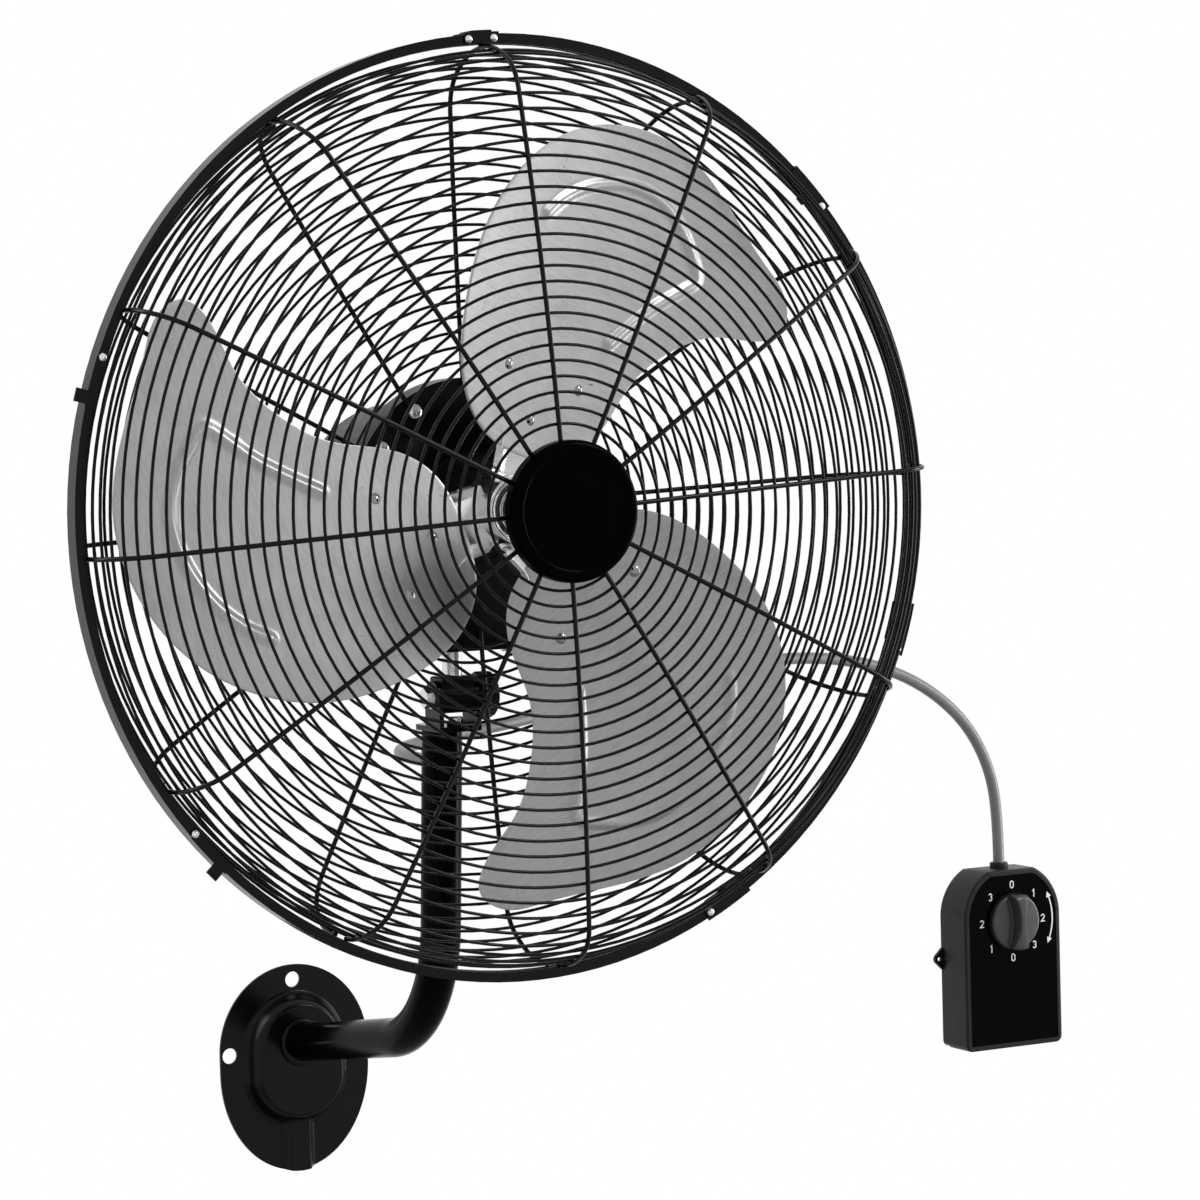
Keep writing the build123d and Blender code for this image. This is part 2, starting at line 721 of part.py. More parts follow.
def blade_sheet(shift, thickness):
    # the blade's surface as a thick sheet, larger than the blade; shift moves it back
    sections = []
    for u in sheet_u:
        spots = [(u, blade_y(u, s) + shift, -s) for s in sheet_s]
        near = ThreePointArc(*spots)
        far = ThreePointArc(*[(x, y + thickness, z) for x, y, z in spots])
        sections.append(make_face([near, Line(near @ 1, far @ 1), far, Line(far @ 0, near @ 0)]))
    return loft(sections, ruled=True)


def column(flat):
    # a drawing in u and s, made deep along Y
    return extrude(flat, amount=sheet_deep, both=True)


def in_plan(points):
    return [(u, -s) for u, s in points]


def rivet_place(u, s):
    # plane on the blade's front face, its normal toward the back
    slope_s = blade_pitch - 2 * blade_camber * s - blade_twist * (u - blade_ref)
    slope_u = -blade_cone - blade_twist * s
    return Plane(origin=(u, blade_y(u, s), -s), z_dir=(-slope_u, 1, slope_s))


def one_blade():
    plan = Plane.XZ * make_face(Spline(*in_plan(blade_outline), periodic=True))
    blade = blade_sheet(0, blade_t) & column(plan)
    start, corner, end = in_plan([bead_start, bead_corner, bead_end])
    bow = in_plan(bead_bow)
    inner = FilletPolyline(start, corner, bow[0], radius=bead_corner_r)
    outer = ThreePointArc(*bow)
    tail = TangentArc(bow[2], end, tangent=outer % 1)
    bead = Plane.XZ * trace(inner + outer + tail, line_width=bead_w)
    blade += blade_sheet(-bead_h, bead_h + blade_t / 2) & column(bead)
    for u, s in rivet_spots:
        blade -= rivet_place(u, s) * Cylinder(rivet_r + seat_fit, 4 * arm_t)
    return blade


def one_rivet(u, s):
    place = rivet_place(u, s)
    depth = blade_t + arm_t
    shank = Pos(0, 0, depth / 2) * Cylinder(rivet_r, depth)
    ball_r = (rivet_head_r ** 2 + rivet_head_h ** 2) / (2 * rivet_head_h)
    cap = Pos(0, 0, ball_r - rivet_head_h) * Sphere(ball_r)
    cap &= Pos(0, 0, -rivet_head_h) * Cylinder(rivet_head_r + over, 2 * rivet_head_h)
    return place * (shank + cap + Pos(0, 0, depth) * mirror(cap, about=Plane.XY))


def make_rotor():
    blade = one_blade()
    step = 360 / blade_count
    for i in range(blade_count):
        keep(f"blade_{i + 1}", head(around(blade, blade_angle + step * i)))

    rivets = [one_rivet(u, s) for u, s in rivet_spots]
    keep("blade_rivets", head(Compound(children=[
        around(rivet, blade_angle + step * i) for i in range(blade_count) for rivet in rivets])))

    plan = Plane.XZ * make_face(Polyline(*in_plan(arm_outline), close=True))
    plan = fillet(plan.vertices().filter_by(lambda v: v.X > arm_round_u), arm_corner_r)
    arm = blade_sheet(blade_t, arm_t) & column(plan)
    hub = drum(boss_r, boss_front, boss_back)
    for i in range(blade_count):
        hub += around(arm, blade_angle + step * i)
    hub -= drum(shaft_r + seat_fit, boss_front - over, boss_back + over)
    front_edge = hub.edges().filter_by(lambda e: abs(e.center().Y - boss_front) < 0.01)
    hub = fillet(front_edge.sort_by(lambda e: e.length)[-1:], boss_edge_r)
    for i in range(blade_count):
        for u, s in rivet_spots:
            hole = rivet_place(u, s) * Cylinder(rivet_r + seat_fit, 4 * arm_t)
            hub -= around(hole, blade_angle + step * i)
    screw_y = boss_back - hub_screw_back
    screw_top = boss_r - hub_screw_top
    hole = pin_z(hub_screw_r + seat_fit, 0, boss_r + over, 0, screw_y)
    keep("blade_hub", head(hub - hole))
    screw = pin_z(hub_screw_r, shaft_r + seat_fit, screw_top, 0, screw_y)
    socket = pin_z(hub_socket_r, screw_top - hub_socket_depth, boss_r, 0, screw_y)
    keep("hub_screw", head(screw - socket))


# ---------------------------------------------------------------- gear case and swing drive
def make_gear_case():
    half = case_w / 2
    front = case_y + case_wall
    back = case_y + case_depth
    top = case_overlap - sqrt(motor_r ** 2 - (half - case_overlap) ** 2)
    outer = block(-half, half, case_y, back, cover_z, top)
    outer = fillet(outer.edges().filter_by(Axis.Z), case_edge_r)
    inner = half - case_wall
    inside = block(-inner, inner, front, back - case_wall, cover_z - over, top + over)
    case = outer - inside - drum(motor_r + seat_fit, case_y - over, back + over)
    corner_x = inner - cover_post_in
    corners = [(x, y) for x in (-corner_x, corner_x)
               for y in (front + cover_post_in, back - case_wall - cover_post_in)]
    for x, y in corners:
        case += pin_z(cover_post_r, cover_z, cover_z + cover_post_h, x, y)
        case -= pin_z(cover_screw_r, cover_z - over, cover_z + cover_screw_depth + drill_depth, x, y)
    keep("gear_housing", head(case))

    cover = block(-half, half, case_y, back, case_bottom, cover_z)
    cover = fillet(cover.edges().filter_by(Axis.Z), case_edge_r)
    boss_top = case_bottom + bush_length
    boss = pin_z(bush_r + bush_boss_t, cover_z, boss_top, 0, swing_y)
    cover += boss & block(-half, half, front + link_play, back, cover_z, boss_top)
    cover -= pin_z(bush_r + seat_fit, case_bottom - over, boss_top + over, 0, swing_y)
    screws = []
    for x, y in corners:
        cover -= pin_z(cover_screw_r + screw_play, case_bottom - over, cover_z + over, x, y)
        shank = pin_z(cover_screw_r - seat_fit, case_bottom, cover_z + cover_screw_depth, x, y)
        screw_low = case_bottom - cover_screw_head_h
        screws.append(shank + pin_z(cover_screw_head_r, screw_low, case_bottom, x, y))
    keep("gear_cover", head(cover))
    keep("cover_screws", head(Compound(children=screws)))

    bush = pin_z(bush_r, case_bottom, boss_top, 0, swing_y)
    bush -= pin_z(journal_r + run_fit, case_bottom - over, boss_top + over, 0, swing_y)
    keep("stem_bush", head(bush))

    left = capacitor_gap[0] - inner
    near = front + capacitor_gap[1]
    can = block(left, left + capacitor[0], near, near + capacitor[1], cover_z, cover_z + capacitor[2])
    keep("run_capacitor", head(fillet(can.edges().filter_by(Axis.Z), capacitor_edge_r)))


def make_swing_drive():
    motor_y = swing_y + swing_motor_gap
    can_top = cover_z + swing_motor_h
    can = pin_z(swing_motor_r, cover_z, can_top, 0, motor_y)
    can = fillet(can.edges().group_by(Axis.Z)[-1], swing_motor_edge_r)
    can += pin_z(link_pin_r, can_top, crank_z + link_t - spindle_end, 0, motor_y)
    keep("swing_motor", head(can))

    # crank and lug point the same way, toward +X
    keep("swing_crank", head(throw_arm(motor_y, crank_hub_r, link_pin_r + run_fit)))
    keep("swing_lug", head(throw_arm(swing_y, lug_hub_r, lug_seat_r + seat_fit)))

    flat = Pos(link_arm, swing_y + swing_motor_gap / 2)
    flat *= SlotCenterToCenter(swing_motor_gap, 2 * link_eye_r, rotation=90)
    link = Pos(0, 0, link_low) * extrude(flat, amount=link_t)
    for y in (swing_y, motor_y):
        link -= pin_z(link_pin_r + run_fit, link_low - over, link_low + link_t + over, link_arm, y)
    keep("swing_link", head(link))


def throw_arm(y, hub_r, hole_r):
    # tapered arm from a hub at x = 0 to the link's upright pin and its shoulder
    rounds = Circle(hub_r).edges() + (Pos(link_arm, 0) * Circle(link_eye_r)).edges()
    arm = Pos(0, y, crank_z) * extrude(make_hull(rounds), amount=link_t)
    arm -= pin_z(hole_r, crank_z - over, crank_z + link_t + over, 0, y)
    arm += pin_z(link_rest_r, crank_z + link_t, rest_top, link_arm, y)
    return arm + pin_z(link_pin_r, rest_top, pin_top, link_arm, y)


# ---------------------------------------------------------------- neck, fork and tilt bolt
def make_neck():
    top = tilt_z + block_top
    body = pin_x(block_r, -block_w / 2, block_w / 2, swing_y, tilt_z)
    body += block(-block_w / 2, block_w / 2, swing_y - block_flat, swing_y + block_flat, tilt_z, top)
    body = fillet(body.edges().group_by(Axis.Z)[-1], block_edge_r)
    body -= pin_x(tilt_bolt_r + run_fit, -block_w, block_w, swing_y, tilt_z)
    seat = tilt_z + tilt_bolt_r + stem_floor
    body -= pin_z(stem_r + seat_fit, seat, top + over, 0, swing_y)
    keep("neck_block", head(body))

    clip_z = crank_z + link_t
    clip_top = clip_z + lug_clip_t
    stem = pin_z(stem_r, seat, case_bottom - run_fit, 0, swing_y)
    stem += pin_z(journal_r, case_bottom - run_fit, crank_z - run_fit, 0, swing_y)
    stem += pin_z(lug_seat_r, crank_z - run_fit, clip_top + stem_over_clip, 0, swing_y)
    keep("neck_stem", head(stem))

    clip = pin_z(lug_seat_r + clip_rim, clip_z, clip_top, 0, swing_y)
    clip -= pin_z(lug_seat_r + seat_fit, clip_z - over, clip_top + over, 0, swing_y)
    mouth = block(-2 * lug_seat_r, 0, swing_y - clip_mouth / 2, swing_y + clip_mouth / 2,
                  clip_z - over, clip_top + over)
    keep("lug_clip", head(clip - mouth))


def make_fork():
    x_out = fork_w + fork_t
    base_z = fork_z - fork_floor_t
    y_front = swing_y - fork_depth / 2
    y_back = swing_y + fork_shift + tube_r + fork_back
    screw_y = swing_y - fork_screw_ahead
    seat_z = fork_z + fork_boss_h
    fork = block(-x_out, x_out, y_front, y_back, base_z, fork_z)
    for side in (-1, 1):
        x0, x1 = sorted((side * fork_w, side * x_out))
        cheek = block(x0, x1, y_front, swing_y + fork_depth / 2, base_z, tilt_z)
        cheek += pin_x(fork_depth / 2, x0, x1, swing_y, tilt_z)
        fork += cheek
    fork -= pin_x(tilt_bolt_r + seat_fit, -2 * x_out, 2 * x_out, swing_y, tilt_z)
    corners = fork.edges().filter_by(Axis.Z).filter_by(lambda e: e.center().Y > y_back - over)
    fork = fillet(corners, fork_corner_r)
    fork += pin_z(fork_boss_r, fork_z, seat_z, 0, screw_y)
    fork -= pin_z(fork_screw_r + seat_fit, base_z - over, seat_z + over, 0, screw_y)
    plug = tube_solid(tube_r - tube_wall - seat_fit) & below_fork(fork_plug)
    keep("tilt_yoke", head(fork) + plug)

    screw = pin_z(fork_screw_r, base_z + fork_screw_short, seat_z, 0, screw_y)
    knuckle = pin_z(fork_screw_head_r, seat_z, seat_z + fork_screw_head_h, 0, screw_y)
    knuckle = fillet(knuckle.edges().group_by(Axis.Z)[-1], fork_screw_edge_r)
    keep("yoke_screw", head(screw + knuckle))

    washer = pin_x(washer_r, x_out, x_out + washer_t, swing_y, tilt_z)
    washer -= pin_x(tilt_bolt_r + seat_fit, 0, 2 * x_out, swing_y, tilt_z)
    far_washer = mirror(washer, about=Plane.YZ)
    keep("tilt_washers", head(Compound(children=[washer, far_washer])))

    face = x_out + washer_t
    shank = pin_x(tilt_bolt_r, -face, face + knob_bolt_in, swing_y, tilt_z)
    hexagon = extrude(RegularPolygon(bolt_head_af / 2, 6, major_radius=False), amount=bolt_head_h)
    hexagon = Pos(-face - bolt_head_h, swing_y, tilt_z) * Rot(0, 90, 0) * hexagon
    keep("tilt_bolt", head(shank + hexagon))

    grip = chamfer(extrude(Circle(knob_r), amount=knob_t).edges(), knob_edge)
    flute = Pos(knob_r + knob_flute_out, 0, knob_t / 2) * Cylinder(knob_flute_r, knob_t + 2 * over)
    for i in range(knob_lobes):
        grip -= Rot(0, 0, 360 / knob_lobes * i) * flute
    grip -= pin_z(tilt_bolt_r + run_fit, -over, knob_t - knob_skin, 0, 0)
    keep("tilt_knob", head(Pos(face + run_fit, swing_y, tilt_z) * Rot(0, 90, 0) * grip))


# ---------------------------------------------------------------- arm tube and wall plate
def tube_path():
    overrun = 20.0
    top = (0, tube_top_y + top_lean * overrun, fork_base_z + overrun)
    corner = (0, tube_corner_y, tube_corner_z)
    return FilletPolyline((0, 0, tube_root_z), corner, top, radius=tube_bend_r)


def tube_solid(radius):
    return tube_along(tube_path(), radius)


def below_fork(depth):
    room = 4 * tube_r
    return block(-room, room, tube_top_y - room, tube_top_y + room, fork_base_z - depth, fork_base_z)


def near_root(y0, y1):
    # all round the tube where it meets the wall plate
    room = 4 * tube_r
    return block(-room, room, y0, y1, tube_root_z - room, tube_root_z + room)


def cable_exit():
    # middle of the grommet's outer face, on the pole's back
    pole_y = tube_top_y - top_lean * cable_exit_drop
    return Vector(0, pole_y + tube_r + grommet_t, fork_base_z - cable_exit_drop)


def make_arm():
    room = block(-2 * tube_r, 2 * tube_r, -2 * reach, crown_face, -2 * reach, fork_base_z)
    tube = (tube_solid(tube_r) - tube_solid(tube_r - tube_wall)) & room
    neck_r = grommet_r - grommet_neck
    outside = cable_exit().Y
    at_exit = Pos(0, 0, cable_exit().Z)
    keep("arm_tube", tube - at_exit * drum(neck_r, outside - tube_r, outside + over))

    root = Plane(origin=(0, 0, tube_root_z), z_dir=tube_path() % 0)
    collar = root * extrude(Circle(collar_r), amount=2 * (crown_h + collar_t))
    collar -= tube_solid(tube_r + seat_fit)
    collar &= near_root(crown_face - collar_t, crown_face)
    front = collar.edges().group_by(Axis.Y)[0].sort_by(lambda e: e.length)[-1:]
    keep("arm_collar", fillet(front, collar_edge_r))

    # rubber plug seated in the hole, where the cable ends
    inside = outside - grommet_t - tube_wall
    flange = at_exit * drum(grommet_r, inside, outside) - tube_solid(tube_r + seat_fit)
    keep("arm_grommet", flange + at_exit * drum(neck_r - seat_fit, inside - grommet_in, outside))


def plate_outline(half, rise, drop):
    top = EllipticalCenterArc((0, 0), half, rise, 0, arc_size=180)
    foot = EllipticalCenterArc((0, -plate_waist), half, drop, 180, arc_size=180)
    return make_face([top, Line(top @ 1, foot @ 0), foot, Line(foot @ 1, top @ 0)])


def crown_solid(inset, height):
    # raised middle with sloping sides; inset makes the smaller one that hollows it
    sides = []
    for inward in (inset, inset + height * tan(radians(crown_taper))):
        sides.append(plate_outline(crown_half - inward, crown_rise - inward, crown_drop - inward))
    return loft([Plane.XZ * sides[0], Plane.XZ.offset(height) * sides[1]], ruled=True)


def trough(inset, height):
    # cable channel from the raised middle down past the plate's lower edge
    low = plate_low - plate_t
    high = -plate_waist - crown_drop / 2
    flat = Trapezoid(channel_w - 2 * inset, height, 90 - crown_taper, rotation=180)
    return extrude(Plane.XY.offset(low) * Pos(0, -height / 2) * flat, amount=high - low)


def make_wall_plate():
    outline = Plane.XZ * plate_outline(plate_half, plate_rise, plate_drop)
    crown = crown_solid(0, crown_h)
    crown = fillet(crown.edges().group_by(Axis.Y)[0], crown_edge_r)
    channel = trough(0, channel_h)
    channel = fillet(channel.edges().filter_by(Axis.Z).group_by(Axis.Y)[0], channel_edge_r)
    channel &= extrude(outline, amount=channel_h + over)
    body = extrude(outline, amount=plate_t) + crown + channel
    side_wall = plate_t / cos(radians(crown_taper))
    body -= crown_solid(side_wall, crown_h - plate_t) + trough(side_wall, channel_h - plate_t)
    for x, z in ((-plate_hole_x, 0), (plate_hole_x, 0), (0, plate_hole_z)):
        body -= Pos(x, 0, z) * drum(plate_hole_r, -plate_t - over, over)
    # the tube's bore opens into the hollow
    keep("wall_plate", body - (tube_solid(tube_r - tube_wall) & near_root(crown_face - over, over)))


# ---------------------------------------------------------------- control box
def box_plan(inset):
    # arch-topped outline about the box's middle, drawn in x and z
    half = box_w / 2 - inset
    top = box_h / 2 - inset
    shoulder = box_h / 2 - box_arch_drop
    low = -box_h / 2 + inset
    flat = box_top_w / 2 - inset * 0.4
    bulge_x = flat + (half - flat) * box_arch_bulge[0]
    bulge_z = shoulder + (top - shoulder) * box_arch_bulge[1]
    sides = [Line((-flat, top), (flat, top)),
             ThreePointArc((flat, top), (bulge_x, bulge_z), (half, shoulder)),
             Line((half, shoulder), (half, low)), Line((half, low), (-half, low)),
             Line((-half, low), (-half, shoulder)),
             ThreePointArc((-half, shoulder), (-bulge_x, bulge_z), (-flat, top))]
    flat_face = make_face(sides)
    round_r = max(box_corner_r - inset, box_least_r)
    return Plane.XZ * fillet(flat_face.vertices().group_by(Axis.Y)[0], round_r)


def at_box(shape):
    return Pos(box_x, 0, box_z) * shape


def box_posts(radius, y0, y1):
    posts = [(x, z) for x in (-post_x, post_x) for z in (post_low, post_high)]
    return [Pos(x, 0, z) * drum(radius, y0, y1) for x, z in posts]


def box_ear():
    tip = Pos(ear_hole_x, 0) * Circle(box_w / 2 + ear_reach - ear_hole_x)
    root = Pos(box_w / 2 - ear_root + ear_root_w / 2, 0) * Rectangle(ear_root_w, ear_h)
    ear = extrude(Plane.XZ * make_hull(tip.edges() + root.edges()), amount=ear_t)
    return ear - Pos(ear_hole_x, 0, 0) * drum(ear_hole_r, -ear_t - over, over)


def make_box():
    front = -box_depth
    head_y = -box_screw_sink - box_screw_head_t
    head_r = box_screw_r + box_screw_head
    ear = box_ear()
    base = extrude(box_plan(box_base_in), amount=box_base_t) + ear + mirror(ear, about=Plane.YZ)
    base -= Pos(0, -box_wall, 0) * extrude(box_plan(box_base_in + box_wall), amount=box_base_t)
    base = base.fuse(*box_posts(post_r, -box_base_t, post_overlap - box_wall))
    base = base.cut(*box_posts(box_screw_r + screw_play, -box_base_t - over, over))
    base = base.cut(*box_posts(head_r + screw_play, head_y, over))
    keep("box_base", at_box(base))

    pocket_y = front + panel_t + panel_sink
    floor_y = pocket_y + box_wall
    cover = extrude(box_plan(0), amount=box_depth) - extrude(box_plan(0), amount=box_base_t - box_lap)
    cover = fillet(cover.edges().filter_by(lambda e: abs(e.center().Y - front) < 0.01), box_edge_r)
    cover -= extrude(box_plan(box_base_in - seat_fit), amount=box_base_t)
    cover -= extrude(box_plan(box_wall), amount=-floor_y)
    cover -= Pos(0, pocket_y, 0) * extrude(box_plan(panel_inset - seat_fit), amount=box_depth)
    gland_z = box_h / 2
    gland_y = -box_depth / 2
    cover -= pin_z(gland_r - gland_neck, gland_z - 2 * box_wall - gland_in, gland_z + over, 0, gland_y)
    cover = cover.fuse(*box_posts(post_r, floor_y - post_overlap, -box_base_t))
    thread_end = -box_base_t - box_screw_in
    cover = cover.cut(*box_posts(box_screw_r + seat_fit, thread_end - box_screw_drill, over - box_base_t))
    window = Pos(0, 0, dial_z) * drum(spindle_r + spindle_hole, front - over, floor_y + over)
    keep("box_cover", at_box(cover - window))

    panel_face = front + panel_sink
    panel = Pos(0, panel_face + panel_t, 0) * extrude(box_plan(panel_inset), amount=panel_t)
    panel -= Pos(0, 0, dial_z) * drum(spindle_r + panel_hole, panel_face - over, pocket_y + over)
    keep("box_panel", at_box(panel))
    keep("dial_marks", at_box(Pos(0, panel_face, 0) * dial_marks()))

    shanks = box_posts(box_screw_r, thread_end, head_y)
    heads = box_posts(head_r, head_y, -box_screw_sink)
    screws = [shank + top for shank, top in zip(shanks, heads)]
    keep("box_screws", at_box(Compound(children=screws)))

    knob_y = panel_face - knob_gap
    switch = drum(switch_r, floor_y, floor_y + switch_h) + drum(spindle_r, knob_y - spindle_in, floor_y)
    keep("rotary_switch", at_box(Pos(0, 0, dial_z) * switch))
    keep("control_knob", at_box(Pos(0, knob_y, dial_z) * Rot(90, 0, 0) * control_knob()))

    neck = pin_z(gland_r - gland_neck - seat_fit, gland_z - gland_in, gland_z, 0, gland_y)
    top = pin_z(gland_r, gland_z, gland_z + gland_h, 0, gland_y)
    keep("cable_gland", at_box(neck + fillet(top.edges().group_by(Axis.Z)[-1], gland_edge_r)))


def numeral(number):
    # a number drawn as strokes about its own middle
    half_w = (dial_slim * dial_text - dial_stroke) / 2
    half_h = (dial_text - dial_stroke) / 2
    loop = half_h / 2
    if number == 0:
        inner = SlotOverall(2 * half_h - dial_stroke, 2 * half_w - dial_stroke, rotation=90)
        return SlotOverall(dial_text, dial_slim * dial_text, rotation=90) - inner
    if number == 1:
        flag = (-half_w * 0.6, half_h * 0.55)
        strokes = [Polyline(flag, (half_w * 0.2, half_h), (half_w * 0.2, -half_h - dial_stroke / 2))]
    if number == 2:
        bow = CenterArc((0, half_h - half_w), half_w, -35, 205)
        strokes = [bow, Polyline(bow @ 0, (-half_w, -half_h), (half_w + dial_stroke / 2, -half_h))]
    if number == 3:
        strokes = [CenterArc((0, loop), loop, -90, 250), CenterArc((0, -loop), loop, -160, 250)]
    return Sketch() + [trace(stroke, line_width=dial_stroke) for stroke in strokes]


def dial_marks():
    # numbers round the knob and the two-headed arc beside them, raised from y = 0
    marks = []
    for i, number in enumerate((0, 1, 2, 3, 0, 1, 2, 3)):
        angle = radians(90 - 45 * i)
        marks.append(Pos(dial_text_r * cos(angle), dial_text_r * sin(angle)) * numeral(number))
    shaft_half = arrow_half - arrow_head_turn
    arrow = trace(CenterArc((0, 0), arrow_r, -shaft_half - 1, 2 * shaft_half + 2), line_width=arrow_w)
    for side in (-1, 1):
        tip = make_face(Polyline((-arrow_head_w / 2, 0), (arrow_head_w / 2, 0), (0, side * arrow_head_l),
                                 close=True))
        arrow += Rot(0, 0, side * shaft_half) * Pos(arrow_r, 0) * tip
    marks.append(Pos(arrow_x, 0) * arrow)
    faces = [face for mark in marks for face in mark.faces()]
    return Compound(children=[extrude(Plane.XZ * Pos(0, dial_z) * face, amount=mark_h) for face in faces])


def control_knob():
    # drawn with its axis along +Z, the panel at z = 0; the grip is pinched in the middle
    height = knob_disc_h + knob_grip_h
    disc = extrude(Circle(dial_r), amount=knob_disc_h)
    disc = fillet(disc.edges().group_by(Axis.Z)[-1], knob_disc_edge_r)
    waist = knob_grip_w * 0.4
    wide = knob_grip_w * 0.75
    edge = dial_r * 1.1
    outline = make_face([
        ThreePointArc((wide, edge), (waist, 0), (wide, -edge)), Line((wide, -edge), (-wide, -edge)),
        ThreePointArc((-wide, -edge), (-waist, 0), (-wide, edge)), Line((-wide, edge), (wide, edge))])
    grip = extrude(outline, amount=height) & extrude(Circle(dial_r - knob_grip_inset), amount=height)
    grip = fillet(grip.edges().filter_by(Axis.Z), knob_disc_edge_r)
    grip = fillet(grip.edges().group_by(Axis.Z)[-1], knob_grip_edge_r)
    return disc + grip - extrude(Circle(spindle_r + run_fit), amount=spindle_in + drill_depth)


# ---------------------------------------------------------------- cable
def cable_route():
    # from the gland on the box up the wall, over to the left and down to the pole's back
    gland_top = box_z + box_h / 2 + gland_h
    gland_y = -box_depth / 2
    end = cable_exit()
    return [(box_x, gland_y, gland_top), (box_x, gland_y, 138), (662, -18, 180), (641, -17, 219),
            (606, -17, 250), (562, -19, 272), (512, -24, 284), (458, -32, 289), (402, -42, 288),
            (346, -53, 283), (290, -66, 275), (236, -82, 268), (184, -101, 263), (134, -117, 258),
            (84, -130, 254), (42, -150, 251.5), (12, -186, 250.5), (end.X, end.Y + cable_end_run, end.Z), end]


def make_cable():
    route = [Vector(*p) for p in cable_route()]
    radii = []
    for before, here, after in zip(route, route[1:], route[2:]):
        turn = radians((here - before).get_angle(after - here))
        shorter = min((here - before).length, (after - here).length)
        radii.append(0.45 * shorter / tan(turn / 2))
    path = FilletPolyline(*route, radius=radii)
    solid = tube_along(path, cable_r)
    print("cable radii", [round(r) for r in radii], "least", round(min(radii), 1))
    print("cable length", round(path.length, 1), "volume", round(solid.volume),
          "section times length", round(pi * cable_r ** 2 * path.length))
    keep("control_cable", solid)


def main():
    make_guards()
    make_band()
    make_cap()
    make_motor()
    make_rotor()
    make_gear_case()
    make_swing_drive()
    make_neck()
    make_fork()
    make_arm()
    make_wall_plate()
    make_box()
    make_cable()
    os.makedirs("parts", exist_ok=True)
    for name, shape in nodes.items():
        export_step(shape, f"parts/{name}.step")
    print(len(nodes), "nodes")


main()
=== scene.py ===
import json
from math import cos, pi, radians, sin, tan

import bpy
import numpy as np
from mathutils import Matrix, Vector

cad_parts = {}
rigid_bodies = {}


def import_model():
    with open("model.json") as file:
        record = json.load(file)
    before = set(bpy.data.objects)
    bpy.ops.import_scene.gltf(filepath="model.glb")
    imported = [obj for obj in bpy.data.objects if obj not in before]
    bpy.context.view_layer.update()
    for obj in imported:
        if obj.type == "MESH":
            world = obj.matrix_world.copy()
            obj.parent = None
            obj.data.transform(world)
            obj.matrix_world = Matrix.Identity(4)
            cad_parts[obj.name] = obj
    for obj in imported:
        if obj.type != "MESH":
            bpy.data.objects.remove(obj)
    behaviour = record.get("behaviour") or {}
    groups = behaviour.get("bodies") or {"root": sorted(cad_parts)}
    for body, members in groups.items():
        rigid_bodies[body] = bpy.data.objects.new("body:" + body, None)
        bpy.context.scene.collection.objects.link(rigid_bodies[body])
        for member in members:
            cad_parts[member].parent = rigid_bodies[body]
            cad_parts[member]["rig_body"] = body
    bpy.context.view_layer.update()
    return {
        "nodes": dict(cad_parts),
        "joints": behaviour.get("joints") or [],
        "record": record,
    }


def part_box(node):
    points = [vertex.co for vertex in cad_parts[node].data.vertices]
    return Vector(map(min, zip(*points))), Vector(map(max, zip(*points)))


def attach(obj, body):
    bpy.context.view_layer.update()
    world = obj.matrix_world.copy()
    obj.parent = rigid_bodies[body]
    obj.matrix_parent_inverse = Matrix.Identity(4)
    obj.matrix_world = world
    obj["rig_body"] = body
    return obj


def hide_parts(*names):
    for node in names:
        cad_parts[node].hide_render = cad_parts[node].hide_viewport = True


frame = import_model()
mm = 0.001
weldGap = 0.001 * mm  # spots nearer to each other than this become one
print("frame loaded:", len(frame["nodes"]), "nodes")

jointPlaces = {joint["name"]: Vector(joint["pos_m"]) for joint in frame["joints"]}
hubPlace = jointPlaces["rotor_spin"]  # on the fan's axis, in the middle of the clamp band

# edges flatter than this many degrees are shaded smooth
smoothAngles = {"wire": 50, "casting": 32, "turned": 34, "sheet": 40, "moulded": 45}


def deselectAll():
    if bpy.context.object and bpy.context.object.mode != "OBJECT":
        bpy.ops.object.mode_set(mode="OBJECT")
    bpy.ops.object.select_all(action="DESELECT")


def takeActive(piece):
    deselectAll()
    piece.select_set(True)
    bpy.context.view_layer.objects.active = piece


def freeze(piece):
    takeActive(piece)
    bpy.ops.object.transform_apply(location=True, rotation=True, scale=True)


def applyModifier(piece, kind, **settings):
    takeActive(piece)
    modifier = piece.modifiers.new(kind.title(), kind)
    for key, value in settings.items():
        setattr(modifier, key, value)
    bpy.ops.object.modifier_apply(modifier=modifier.name)


def smoothByAngle(piece, kind):
    takeActive(piece)
    bpy.ops.object.shade_smooth_by_angle(angle=radians(smoothAngles[kind]))


def roundEdges(piece, width, leastAngle):
    applyModifier(piece, "BEVEL", width=width * mm, segments=2, limit_method="ANGLE",
                  angle_limit=radians(leastAngle))


def joinPieces(pieces, name):
    deselectAll()
    for piece in pieces:
        piece.select_set(True)
    bpy.context.view_layer.objects.active = pieces[0]
    if len(pieces) > 1:
        bpy.ops.object.join()
    whole = bpy.context.object
    whole.name = name
    whole.data.name = name
    return whole


def copyPiece(piece):
    twin = piece.copy()
    twin.data = piece.data.copy()
    bpy.context.scene.collection.objects.link(twin)
    return twin


def giveFinish(piece, finish):
    piece.data.materials.clear()
    piece.data.materials.append(finish)


def handIn(piece, body, slot, *nodes):
    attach(piece, body)
    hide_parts(*nodes)


cameraPlace = {
    "location": (-1.2269, -2.8197, 0.5173),
    "yaw": 28.273, "pitch": -3.081, "roll": -1.591,
    "lens": 115.788, "sensor": 36.0,
    "farthest": 50,
}


